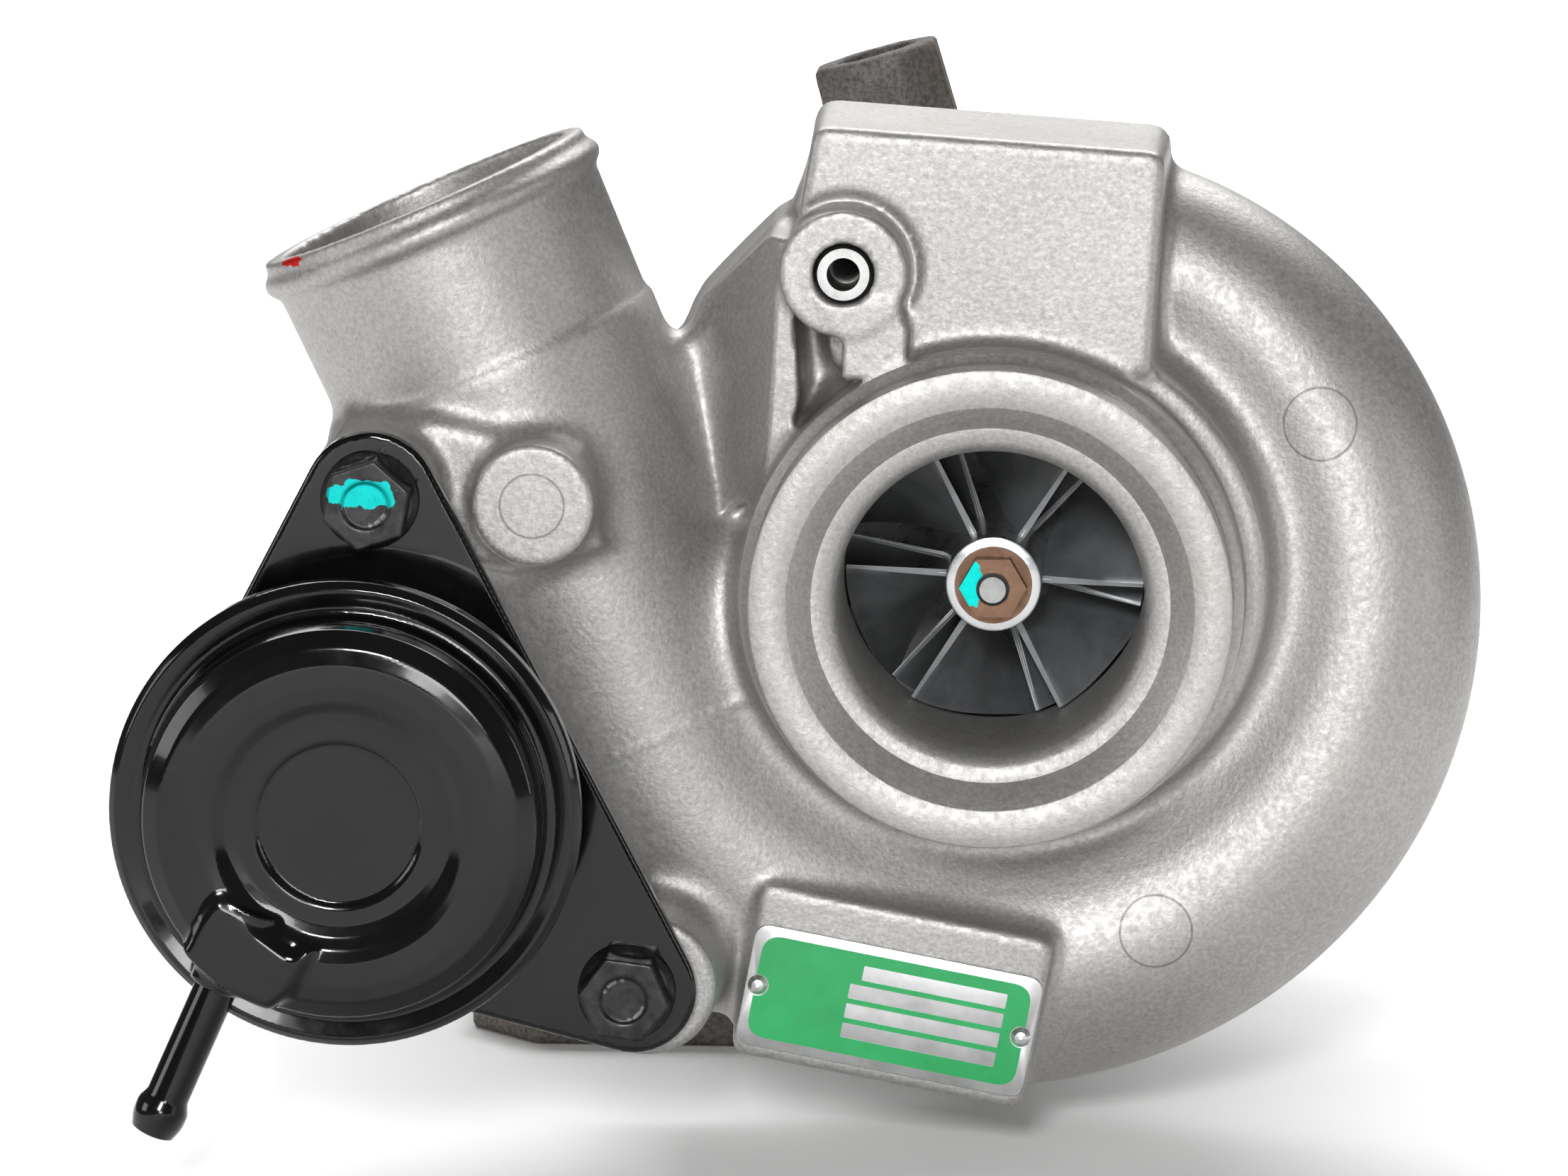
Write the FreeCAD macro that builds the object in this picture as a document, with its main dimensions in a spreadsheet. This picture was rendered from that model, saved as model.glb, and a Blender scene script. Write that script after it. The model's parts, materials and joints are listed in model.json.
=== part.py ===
import FreeCAD, Part
import math
import os
import re
import Sketcher

# Turbocharger with an internal wastegate. Millimetres, +Z up.
# The rotor turns about the Y axis. The compressor inlet faces -Y and its straight bore starts at y = 0,
# the turbine outlet faces +Y and the manifold flange faces -Z.

DIMENSIONS = {
    # compressor housing, turned surfaces
    "inlet_face": -6.0,
    "inlet_bore": 23.1,
    "inlet_ring_inner": 30.5,
    "inlet_ring_outer": 36.2,
    "barrel_radius": 37.9,
    "shroud_start": 24.4,
    "diffuser_front": 45.2,
    "diffuser_radius": 48.6,
    "rear_bore": 50.6,
    "rear_step": 53.0,
    "flange_bore": 54.0,
    "flange_rear": 57.0,
    "ring_groove_radius": 56.0,
    "rim_radius": 58.5,
    "rim_end": 61.5,
    # compressor scroll: it grows clockwise, seen from the inlet
    "scroll_start_angle": 139.0,
    "scroll_sweep": 295.6,
    "scroll_start_outer": 59.8,
    "scroll_end_outer": 83.0,
    "scroll_start_radius": 4.6,
    "scroll_end_radius": 20.5,
    "scroll_wall": 3.5,
    "scroll_rear": 48.8,
    # outlet pipe, along the tangent at the end of the scroll
    "outlet_offset": 57.5,
    "outlet_bore": 23.0,
    "outlet_bead": 27.8,
    "outlet_bead_start": 81.8,
    "outlet_length": 88.0,
    # pads and bosses on the compressor housing
    "valve_pad_front": 9.0,
    "valve_pad_depth": 28.0,
    "port_x": -22.3,
    "port_z": 49.1,
    "port_radius": 10.3,
    "port_face": 3.0,
    "boss_face": -8.0,
    "upper_bolt_x": -91.9,
    "upper_bolt_z": 16.8,
    "lower_bolt_x": -54.0,
    "lower_bolt_z": -57.6,
    "boss_radius": 10.0,
    "spare_boss_x": -68.1,
    "spare_boss_z": 15.5,
    "spare_boss_radius": 9.2,
    "label_x": -15.2,
    "label_z": -63.8,
    "label_tilt": 10.8,
    "label_front": 5.0,
    # clearances: pressed together, running with a little play, and on an oil film
    "press_gap": 0.02,
    "running_gap": 0.06,
    "film_gap": 0.04,
    # rotor
    "stub_radius": 2.5,
    "journal_radius": 4.0,
    "nose": 17.0,
    "wheel_back": 50.0,
    "seal_hub_radius": 8.4,
    "weld_plane": 104.5,
    # bearing housing
    "housing_front": 48.6,
    "neck_radius": 29.0,
    "clamp_plane": 95.0,
    "clamp_radius": 40.0,
    "bearing_bore": 6.5,
    "tower_angle": 105.5,
    "tower_top": 78.0,
    "tower_y": 78.0,
    "coolant_thread": 6.2,
    "oil_inlet_top": 44.0,
    "oil_centre": 78.0,
    "drain_face": 52.0,
    # turbine housing
    "volute_inner": 31.0,
    "volute_start_radius": 12.8,
    "volute_end_radius": 5.0,
    "volute_wall": 4.5,
    "volute_front": 105.2,
    "duct_x": -43.8,
    "duct_y": 118.0,
    "manifold_face": -88.5,
    "manifold_thickness": 10.0,
    "manifold_width": 88.0,
    "manifold_depth": 76.0,
    "manifold_corner": 11.2,
    "manifold_pitch_x": 66.0,
    "manifold_pitch_y": 54.0,
    "manifold_hole": 5.25,
    "chamber_front": 136.0,
    "outlet_flange_front": 161.0,
    "outlet_flange_rear": 170.0,
    # wastegate
    "valve_x": -40.0,
    "valve_radius": 13.0,
    "seat_bore": 10.0,
    "spindle_y": 145.0,
    "spindle_radius": 4.0,
    "lever_radius": 20.0,
    "lever_half_angle": 17.5,
    "lever_pin_radius": 2.5,
    "rod_eye_radius": 3.1,
    # actuator
    "can_x": -94.3,
    "can_z": -27.6,
    "bracket_thickness": 3.0,
    "rod_radius": 3.0,
    "spring_wire": 1.0,
}

Y_UP = FreeCAD.Vector(0, 1, 0)
Z_UP = FreeCAD.Vector(0, 0, 1)
ALONG_Y = FreeCAD.Rotation(Z_UP, Y_UP)
ALONG_X = FreeCAD.Rotation(Z_UP, FreeCAD.Vector(1, 0, 0))
UPRIGHT = FreeCAD.Rotation()

doc = FreeCAD.newDocument("turbocharger")
sheet = doc.addObject("Spreadsheet::Sheet", "dims")
for row, (alias, dimension) in enumerate(DIMENSIONS.items(), 1):
    sheet.set(f"A{row}", alias)
    sheet.set(f"B{row}", str(dimension))
    sheet.setAlias(f"B{row}", alias)
doc.recompute()

nodes = []


def number(expression):
    """The value of an expression made of sheet aliases."""
    if isinstance(expression, str):
        return float(sheet.evalExpression(expression))
    return float(expression)


def linked(expression):
    """The same expression, with each alias written as a reference to the sheet."""
    return re.sub(r"[a-z]\w*", lambda word: f"dims.{word.group()}", expression)


def bind(target, prop, expression):
    """Set a property, and keep it bound to the sheet where it depends on it."""
    if isinstance(expression, str):
        target.setExpression(prop, linked(expression))
    else:
        setattr(target, prop, expression)


def place(target, x=0, y=0, z=0, rotation=UPRIGHT):
    """Give an object its place, bound to the sheet."""
    target.Placement = FreeCAD.Placement(FreeCAD.Vector(number(x), number(y), number(z)), rotation)
    for axis, expression in zip("xyz", (x, y, z)):
        if isinstance(expression, str):
            target.setExpression(f"Placement.Base.{axis}", linked(expression))
    return target


def node(label, target):
    """Name an object as one of the sub-parts."""
    target.Label = label
    nodes.append(target)
    return target


def outline_sketch(body, plane_role, corners):
    """A closed outline of straight lines, each corner held at its own distances from the origin."""
    sketch = body.newObject("Sketcher::SketchObject", body.Name + "_outline")
    plane = next(plane for plane in body.Origin.OriginFeatures if plane.Role == plane_role)
    sketch.AttachmentSupport = [(plane, "")]
    sketch.MapMode = "FlatFace"
    points = [FreeCAD.Vector(number(across), number(along), 0) for across, along in corners]
    count = len(points)
    lines = [Part.LineSegment(points[i], points[(i + 1) % count]) for i in range(count)]
    sketch.addGeometry(lines, False)
    joints = [Sketcher.Constraint("Coincident", i, 2, (i + 1) % count, 1) for i in range(count)]
    sketch.addConstraint(joints)
    for i, corner in enumerate(corners):
        for kind, expression in zip(("DistanceX", "DistanceY"), corner):
            index = sketch.addConstraint(Sketcher.Constraint(kind, -1, 1, i, 1, number(expression)))
            if isinstance(expression, str):
                sketch.setExpression(f"Constraints[{index}]", linked(expression))
    return sketch


def turned(name, profile, x=0, y=0, z=0, rotation=UPRIGHT):
    """A body turned about its own Y axis, from (radius, y) corners."""
    body = doc.addObject("PartDesign::Body", name)
    sketch = outline_sketch(body, "XY_Plane", profile)
    revolution = body.newObject("PartDesign::Revolution", name + "_turn")
    revolution.Profile = sketch
    revolution.ReferenceAxis = (sketch, ["V_Axis"])
    revolution.Angle = 360
    return place(body, x, y, z, rotation)


def padded(name, corners, front, depth, x=0, z=0, rotation=UPRIGHT):
    """A body with an outline in X and Z, padded along +Y from y = front."""
    body = doc.addObject("PartDesign::Body", name)
    pad_sketch = outline_sketch(body, "XZ_Plane", corners)
    pad = body.newObject("PartDesign::Pad", name + "_pad")
    pad.Profile = pad_sketch
    pad.Reversed = True
    bind(pad, "Length", depth)
    return place(body, x, front, z, rotation)


def cylinder(name, radius, length, x=0, y=0, z=0, rotation=ALONG_Y):
    """A cylinder from a point, along Y unless turned another way."""
    solid = doc.addObject("Part::Cylinder", name)
    bind(solid, "Radius", radius)
    bind(solid, "Height", length)
    return place(solid, x, y, z, rotation)


def cone(name, radius, end_radius, length, x=0, y=0, z=0, rotation=ALONG_Y):
    """A cone from a point, along Y unless turned another way."""
    solid = doc.addObject("Part::Cone", name)
    bind(solid, "Radius1", radius)
    bind(solid, "Radius2", end_radius)
    bind(solid, "Height", length)
    return place(solid, x, y, z, rotation)


def box(name, length, width, height, x=0, y=0, z=0, rotation=UPRIGHT):
    """A box from its low corner."""
    solid = doc.addObject("Part::Box", name)
    bind(solid, "Length", length)
    bind(solid, "Width", width)
    bind(solid, "Height", height)
    return place(solid, x, y, z, rotation)


def hexagon(name, across_flats, length, x=0, y=0, z=0, rotation=ALONG_Y):
    """A hexagonal prism, given by its width across flats."""
    solid = doc.addObject("Part::Prism", name)
    solid.Polygon = 6
    bind(solid, "Circumradius", across_flats / math.sqrt(3))
    bind(solid, "Height", length)
    return place(solid, x, y, z, rotation)


def joined(name, pieces):
    """One solid from several that overlap."""
    fusion = doc.addObject("Part::MultiFuse", name)
    fusion.Shapes = pieces
    return fusion


def grouped(name, pieces):
    """Separate solids kept as one sub-part."""
    group = doc.addObject("Part::Compound", name)
    group.Links = pieces
    return group


def less(name, base, *tools):
    """A solid with other solids cut away."""
    difference = doc.addObject("Part::Cut", name)
    difference.Base = base
    difference.Tool = tools[0] if len(tools) == 1 else joined(name + "_tools", list(tools))
    return difference


def shaped(name, shape):
    """A shape made by formula, for what neither sketches nor primitives can make."""
    feature = doc.addObject("Part::Feature", name)
    feature.Shape = shape
    return feature


def toward(angle):
    """The rotation that points a part's Z axis away from the rotor axis at an angle in the XZ plane."""
    direction = FreeCAD.Vector(math.cos(math.radians(angle)), 0, math.sin(math.radians(angle)))
    return FreeCAD.Rotation(Z_UP, direction)


def around(angle):
    """A turn about the rotor axis, counter-clockwise seen from the inlet."""
    return FreeCAD.Rotation(Y_UP, -angle)


def ring_frame(angle, radius, y, advance=0.0):
    """The placement of a duct section: its X points away from the rotor axis, its Z along the flow."""
    turn = math.radians(angle)
    outward = FreeCAD.Vector(math.cos(turn), 0, math.sin(turn))
    flow = FreeCAD.Vector(math.sin(turn), 0, -math.cos(turn))
    centre = outward * radius + Y_UP * y + flow * advance
    rotation = FreeCAD.Rotation(outward, FreeCAD.Vector(0, -1, 0), flow, "ZXY")
    return FreeCAD.Placement(centre, rotation)


def duct(name, sections, degree):
    """A smooth duct through circles, each a radius and a placement."""
    circles = []
    for index, (radius, placement) in enumerate(sections):
        circle = doc.addObject("Part::Circle", f"{name}_{index}")
        circle.Radius = radius
        circle.Placement = placement
        circles.append(circle)
    loft = doc.addObject("Part::Loft", name)
    loft.Sections = circles
    loft.Solid = True
    loft.Ruled = False
    loft.MaxDegree = degree
    return loft


# ---- compressor housing -------------------------------------------------------------------------

SCROLL_STATIONS = 12
OUTLET_STATIONS = (0.25, 0.5, 0.75, 1.0)


def scroll_sections(wall, overrun=0.0):
    """Sections of the scroll and its outlet pipe, with a wall added to the flow area's radius."""
    first = number("scroll_start_radius")
    last = number("scroll_end_radius")
    sections = []
    for index in range(SCROLL_STATIONS + 1):
        share = index / SCROLL_STATIONS
        radius = math.sqrt(first ** 2 + (last ** 2 - first ** 2) * share)
        outer = number("scroll_start_outer")
        outer += (number("scroll_end_outer") - outer) * math.sin(share * math.pi / 2) ** 1.15
        angle = number("scroll_start_angle") - number("scroll_sweep") * share
        centre = outer - radius - number("scroll_wall")
        centre += (number("outlet_offset") - centre) * max(0.0, share - 0.75) * 4
        sections.append((radius + wall, ring_frame(angle, centre, number("scroll_rear") - radius)))
    angle = number("scroll_start_angle") - number("scroll_sweep")
    for share in OUTLET_STATIONS:
        radius = last + (number("outlet_bore") - last) * share
        frame = ring_frame(angle, number("outlet_offset"), number("scroll_rear") - radius,
                           (number("outlet_length") + overrun) * share)
        sections.append((radius + wall, frame))
    return sections


def outlet_frame(advance):
    """The placement on the outlet pipe's axis, at a distance along it."""
    angle = number("scroll_start_angle") - number("scroll_sweep")
    return ring_frame(angle, number("outlet_offset"), number("scroll_rear - outlet_bore"), advance)


def outlet_piece(name, radius, start, end):
    """A cylinder along the outlet pipe."""
    solid = doc.addObject("Part::Cylinder", name)
    bind(solid, "Radius", radius)
    bind(solid, "Height", f"{end} - {start}" if isinstance(start, str) else end)
    solid.Placement = outlet_frame(number(start))
    return solid


def compressor_housing():
    """The casting with the inlet, the scroll and its outlet pipe, and the bush in its pressure port."""
    core = turned("compressor_core", [
        (0, "inlet_face"), ("inlet_ring_outer", "inlet_face"), ("inlet_ring_outer", 1.0),
        ("barrel_radius", 2.6), ("barrel_radius", 33.0), (43.0, 39.0), (52.0, 40.5),
        ("rim_radius", 46.0), ("rim_radius", "rim_end - 1"), ("rim_radius - 1", "rim_end"), (0, "rim_end")])
    scroll = duct("scroll_outside", scroll_sections(number("scroll_wall")), 5)
    bead = outlet_piece("outlet_bead_ring", "outlet_bead", "outlet_bead_start", "outlet_bead_start + 4.4")
    valve_pad = padded("valve_pad", [
        (-27.8, 71.5), (26.4, 67.7), (24.5, 33.8), (0, 30), (-25, 36), (-30.1, 57.9)],
        "valve_pad_front", "valve_pad_depth")
    web = padded("outlet_web", [
        (-30, 60), (-20, 30), (-33, -5), (-60, 20), (-52, 36), (-38, 50)], 22.0, 22.0)
    port_boss = cylinder("port_boss", "port_radius", 30.0, "port_x", "port_face", "port_z")
    upper_boss = cylinder("upper_boss", "boss_radius", 38.0, "upper_bolt_x", "boss_face", "upper_bolt_z")
    lower_boss = cylinder("lower_boss", "boss_radius + 1", 44.0, "lower_bolt_x + 2", "boss_face",
                          "lower_bolt_z")
    spare_boss = cylinder("spare_boss", "spare_boss_radius", 30.0, "spare_boss_x", "boss_face",
                          "spare_boss_z")
    neck = box("boss_neck", 24.0, 20.0, 9.0, "upper_bolt_x", "boss_face + 4", "spare_boss_z - 4")
    label_turn = FreeCAD.Rotation(Y_UP, number("label_tilt"))
    label_pad = padded("label_pad", [(-22.7, -13.0), (22.7, -13.0), (22.7, 16.0), (-22.7, 16.0)],
                       "label_front", 30.0, "label_x", "label_z", label_turn)
    casting = joined("compressor_casting", [
        core, scroll, bead, valve_pad, web, port_boss, upper_boss, lower_boss, spare_boss, neck,
        label_pad])
    bores = turned("compressor_bores", [
        (0, "inlet_face - 1"), ("inlet_ring_inner + 1", "inlet_face - 1"), (26.9, -2.2), (24.8, -2.0),
        ("inlet_bore", 0), ("inlet_bore", "shroud_start"), (23.4, 30.0), (24.3, 36.0), (26.0, 41.0),
        (28.4, "diffuser_front"), ("diffuser_radius", "diffuser_front"), ("diffuser_radius", 48.5),
        ("rear_bore", 48.5), ("rear_bore", "rear_step"), ("flange_bore", "rear_step"),
        ("flange_bore", 57.2), ("ring_groove_radius", 57.2), ("ring_groove_radius", 59.4),
        ("flange_bore", 59.4), ("flange_bore", "rim_end + 1"), (0, "rim_end + 1")])
    flow = duct("scroll_inside", scroll_sections(0.0, 1.0), 5)
    port_bore = cylinder("port_bore", 4.6, 20.0, "port_x", "port_face - 1", "port_z")
    port_drill = cylinder("port_drill", 2.0, 42.0, "port_x", "port_face", "port_z")
    upper_hole = cylinder("upper_hole", 4.02, 20.0, "upper_bolt_x", "boss_face - 1", "upper_bolt_z")
    lower_hole = cylinder("lower_hole", 4.02, 20.0, "lower_bolt_x", "boss_face - 1", "lower_bolt_z")
    rivet_holes = [label_cylinder(f"label_hole_{i}", 1.02, 9.0, side) for i, side in enumerate((-1, 1))]
    node("compressor_housing", less("compressor_machined", casting, bores, flow, port_bore,
                                    port_drill, upper_hole, lower_hole, *rivet_holes))
    bush = turned("port_bush_blank", [(2.5, -1.5), (3.9, -1.5), (4.5, 0.6), (4.5, 8.0), (2.5, 8.0)],
                  "port_x", "port_face + 1.5", "port_z")
    node("pressure_port_bush", bush)


def label_cylinder(name, radius, depth, side):
    """A cylinder through one end of the data plate, from its front face."""
    tilt = math.radians(number("label_tilt"))
    reach = 20.4 * side
    x = number("label_x") + reach * math.cos(tilt)
    z = number("label_z") - reach * math.sin(tilt)
    return cylinder(name, radius, depth, x, number("label_front") - 0.8, z)


def data_plate():
    """The blank data plate and the two rivets that hold it."""
    label_turn = FreeCAD.Rotation(Y_UP, number("label_tilt"))
    plate = padded("plate_blank", [
        (-22.3, -8.0), (-21.0, -9.5), (21.0, -9.5), (22.3, -8.0), (22.3, 8.0), (21.0, 9.5), (-21.0, 9.5),
        (-22.3, 8.0)], "label_front - 0.8", 0.8, "label_x", "label_z", label_turn)
    holes = [label_cylinder(f"plate_hole_{i}", 1.02, 3.0, side) for i, side in enumerate((-1, 1))]
    node("data_plate", less("plate_drilled", plate, *holes))
    rivets = []
    for index, side in enumerate((-1, 1)):
        shank = label_cylinder(f"rivet_shank_{index}", 1.0, 6.0, side)
        head = turned(f"rivet_head_{index}", [(0, -0.9), (0.9, -0.7), (1.5, 0), (0, 0)],
                      shank.Placement.Base.x, shank.Placement.Base.y, shank.Placement.Base.z)
        rivets.append(joined(f"rivet_{index}", [shank, head]))
    node("drive_rivets", grouped("rivet_group", rivets))


# ---- rotor --------------------------------------------------------------------------------------

COMPRESSOR_BLADES = 6
COMPRESSOR_HUB = [(7.4, 24.4), (8.4, 32.0), (10.8, 38.5), (15.5, 43.6), (21.5, 46.8), (28.0, 48.3)]
COMPRESSOR_SHROUD = [(22.7, 24.4), (22.9, 30.0), (23.7, 35.5), (24.9, 39.8), (26.3, 43.0), (28.0, 45.6)]
COMPRESSOR_WRAP = [0, 20, 33, 43, 50, 56]
TURBINE_BLADES = 11
TURBINE_HUB = [(26.0, 106.2), (19.0, 108.0), (13.0, 112.5), (10.0, 118.0), (8.8, 124.0), (8.2, 129.5)]
TURBINE_SHROUD = [(26.0, 113.0), (24.4, 116.0), (23.3, 119.5), (22.7, 122.5), (22.5, 126.0), (22.5, 130.0)]
TURBINE_WRAP = [0, 0, -3, -9, -19, -33]
BLADE_ROOT = 0.8


def blade(hub, shroud, wrap, thickness, phase):
    """A blade lofted through flat sections that run from inside the hub to the shroud line."""
    wires = []
    for (hub_radius, hub_y), (tip_radius, tip_y), turn in zip(hub, shroud, wrap):
        angle = math.radians(phase + turn)
        outward = FreeCAD.Vector(math.cos(angle), 0, math.sin(angle))
        side = FreeCAD.Vector(-math.sin(angle), 0, math.cos(angle)) * (thickness / 2)
        root = outward * hub_radius + Y_UP * hub_y
        tip = outward * tip_radius + Y_UP * tip_y
        root = root + (root - tip).normalize() * BLADE_ROOT
        corners = [root - side, root + side, tip + side * 0.6, tip - side * 0.6, root - side]
        wires.append(Part.makePolygon(corners))
    return Part.makeLoft(wires, True, False)


def bladed(name, hub, blades):
    """A hub and its blades as one solid, cut off at the hub's bore."""
    pieces = [shaped(f"{name}_{index}", blade_shape) for index, blade_shape in enumerate(blades)]
    return joined(name, [hub] + pieces)


def compressor_wheel():
    """The hub with full and splitter blades in turn."""
    hub = turned("compressor_hub", [
        ("stub_radius + press_gap", "nose"), (6.9, "nose"), (7.3, "nose + 0.5")] + COMPRESSOR_HUB + [
        (28.0, 49.3), (9.0, 49.6), (8.0, "wheel_back"), ("stub_radius + press_gap", "wheel_back")])
    blades = []
    pitch = 360 / COMPRESSOR_BLADES
    for index in range(COMPRESSOR_BLADES):
        phase = 58.0 + pitch * index
        blades.append(blade(COMPRESSOR_HUB, COMPRESSOR_SHROUD, COMPRESSOR_WRAP, 0.9, phase))
        blades.append(blade(COMPRESSOR_HUB[1:], COMPRESSOR_SHROUD[1:], COMPRESSOR_WRAP[1:], 0.8,
                            phase - pitch / 2))
    node("compressor_wheel", bladed("compressor_bladed", hub, blades))


def turbine_wheel():
    """The turbine hub and its blades, welded to the shaft's end."""
    hub = turned("turbine_hub", [(0, "weld_plane"), ("seal_hub_radius", "weld_plane"), (9.5, 105.0),
                                 (24.5, 105.3)] + TURBINE_HUB + [(6.5, 131.5), (5.5, 134.0), (0, 134.0)])
    pitch = 360 / TURBINE_BLADES
    blades = [blade(TURBINE_HUB, TURBINE_SHROUD, TURBINE_WRAP, 1.3, pitch * i)
              for i in range(TURBINE_BLADES)]
    node("turbine_wheel", bladed("turbine_bladed", hub, blades))


def rotor_shaft():
    """The shaft, from the nut's end to the seal hub that carries the turbine wheel."""
    node("rotor_shaft", turned("shaft_blank", [
        (0, 11.8), (2.0, 11.8), ("stub_radius", 12.3), ("stub_radius", 66.1), ("journal_radius", 66.1),
        ("journal_radius", 78.0), ("journal_radius - 0.4", 78.6), ("journal_radius - 0.4", 82.4),
        ("journal_radius", 83.0), ("journal_radius", 95.4), (5.2, 96.0), (7.6, 96.2), (7.6, 97.4),
        ("seal_hub_radius", 97.8), ("seal_hub_radius", 99.2), (6.9, 99.2), (6.9, 101.0),
        ("seal_hub_radius", 101.0), ("seal_hub_radius", "weld_plane"), (0, "weld_plane")]))


def compressor_nut():
    """The flanged nut that clamps the compressor wheel."""
    hexes = hexagon("nut_hexagon", 8.9, 3.4, 0, 13.2, 0)
    flange = cylinder("nut_flange", 5.9, "nose - 16", 0, 16.0, 0)
    bore = cylinder("nut_bore", "stub_radius + press_gap", 6.0, 0, 12.5, 0)
    node("compressor_nut", less("nut_drilled", joined("nut_blank", [hexes, flange]), bore))


def thrust_stack():
    """The thrower and thrust collars on the shaft, with the bearings that run on them."""
    node("oil_thrower", turned("thrower_blank", [
        ("stub_radius + press_gap", "wheel_back"), (6.5, "wheel_back"), (6.5, 53.0), (5.0, 53.0),
        (5.0, 54.4), (6.5, 54.4), (6.5, 56.8), (9.5, 57.3), (9.5, 59.0), ("stub_radius + press_gap", 59.0)]))
    node("thrust_collar_front", turned("collar_front_blank", [
        ("stub_radius + press_gap", 59.0), (8.0, 59.0), (8.0, 61.0), (4.5, 61.0), (4.5, 64.0),
        ("stub_radius + press_gap", 64.0)]))
    node("thrust_collar_rear", turned("collar_rear_blank", [
        ("stub_radius + press_gap", 64.0), (8.0, 64.0), (8.0, 66.1), ("stub_radius + press_gap", 66.1)]))
    plate = turned("thrust_plate", [(4.56, 61.06), (15.8, 61.06), (15.8, 63.94), (4.56, 63.94)])
    oil_slot = box("thrust_slot", 3.0, 1.0, 9.0, -1.5, 61.06, 6.0)
    node("thrust_bearing", less("thrust_slotted", plate, oil_slot))
    deflector = turned("deflector_ring", [(8.6, 59.75), (15.8, 59.75), (15.8, 60.9), (8.6, 60.9)])
    node("oil_deflector", deflector)
    for name, start in (("journal_bearing_front", 68.0), ("journal_bearing_rear", 85.0)):
        sleeve = turned(name + "_sleeve", [
            ("journal_radius + film_gap", 0), ("bearing_bore - 0.45", 0), ("bearing_bore - 0.05", 0.4),
            ("bearing_bore - 0.05", 7.6), ("bearing_bore - 0.45", 8.0), ("journal_radius + film_gap", 8.0)],
            0, start, 0)
        holes = [cylinder(f"{name}_hole_{i}", 0.9, 20.0, 0, start + 4.0, 0, toward(60.0 * i))
                 for i in range(6)]
        node(name, less(name + "_drilled", sleeve, *holes))
    rings = []
    for index, start in enumerate((67.05, 76.1, 84.0, 93.1)):
        ring = turned(f"bearing_ring_{index}", [(5.3, 0), (7.2, 0), (7.2, 0.85), (5.3, 0.85)], 0, start, 0)
        gap = box(f"bearing_ring_gap_{index}", 2.4, 3.0, 10.0, -1.2, start - 1, 0)
        rings.append(less(f"bearing_ring_split_{index}", ring, gap))
    node("bearing_snap_rings", grouped("bearing_ring_group", rings))


def split_ring(label, inner, outer, start, thickness, gap):
    """A flat ring with a gap at the top."""
    profile = [(inner, 0), (outer, 0), (outer, thickness), (inner, thickness)]
    ring = turned(label + "_blank", profile, 0, start, 0)
    slot = box(label + "_gap", gap, 20.0, 80.0, -gap / 2, start - 5, 0)
    return node(label, less(label + "_split", ring, slot))


def o_ring(label, major, minor, y):
    """A rubber ring around the rotor axis."""
    ring = doc.addObject("Part::Torus", label + "_torus")
    bind(ring, "Radius1", major)
    bind(ring, "Radius2", minor)
    return node(label, place(ring, 0, y, 0, ALONG_Y))


def seals():
    """The piston rings, snap rings, O-rings, seal plate and heat shield."""
    split_ring("compressor_piston_ring", 5.3, 6.6, 53.1, 1.2, 0.4)
    split_ring("turbine_piston_ring", 7.1, 8.5, 99.3, 1.6, 0.4)
    split_ring("seal_plate_snap_ring", 19.0, 23.2, 50.3, 1.3, 6.0)
    split_ring("housing_snap_ring", 50.8, 55.8, 57.3, 1.9, 14.0)
    o_ring("housing_o_ring", 49.52, 1.0, 51.0)
    o_ring("seal_plate_o_ring", 21.05, 0.9, 54.6)
    node("seal_plate", turned("seal_plate_blank", [
        (6.6, 50.2), (17.5, 50.2), (18.3, 51.8), (21.9, 51.8), (21.9, 53.4), (20.1, 53.4), (20.1, 55.8),
        (21.9, 55.8), (21.9, 59.6), (11.5, 59.6), (11.5, 56.4), (6.6, 55.8)]))
    node("heat_shield", turned("shield_blank", [
        (33.7, 97.05), (33.7, 97.95), (30.6, 97.95), (26.2, 104.1), (9.0, 104.1), (9.0, 103.2),
        (25.6, 103.2), (29.9, 97.05)]))


# ---- bearing housing ----------------------------------------------------------------------------

def radial_boss(name, radius, low, high, angle, y):
    """A cylinder pointing away from the rotor axis."""
    turn = math.radians(number(angle))
    return cylinder(name, radius, f"{high} - {low}" if isinstance(high, str) else high - low,
                    low * math.cos(turn), y, low * math.sin(turn), toward(number(angle)))


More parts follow.
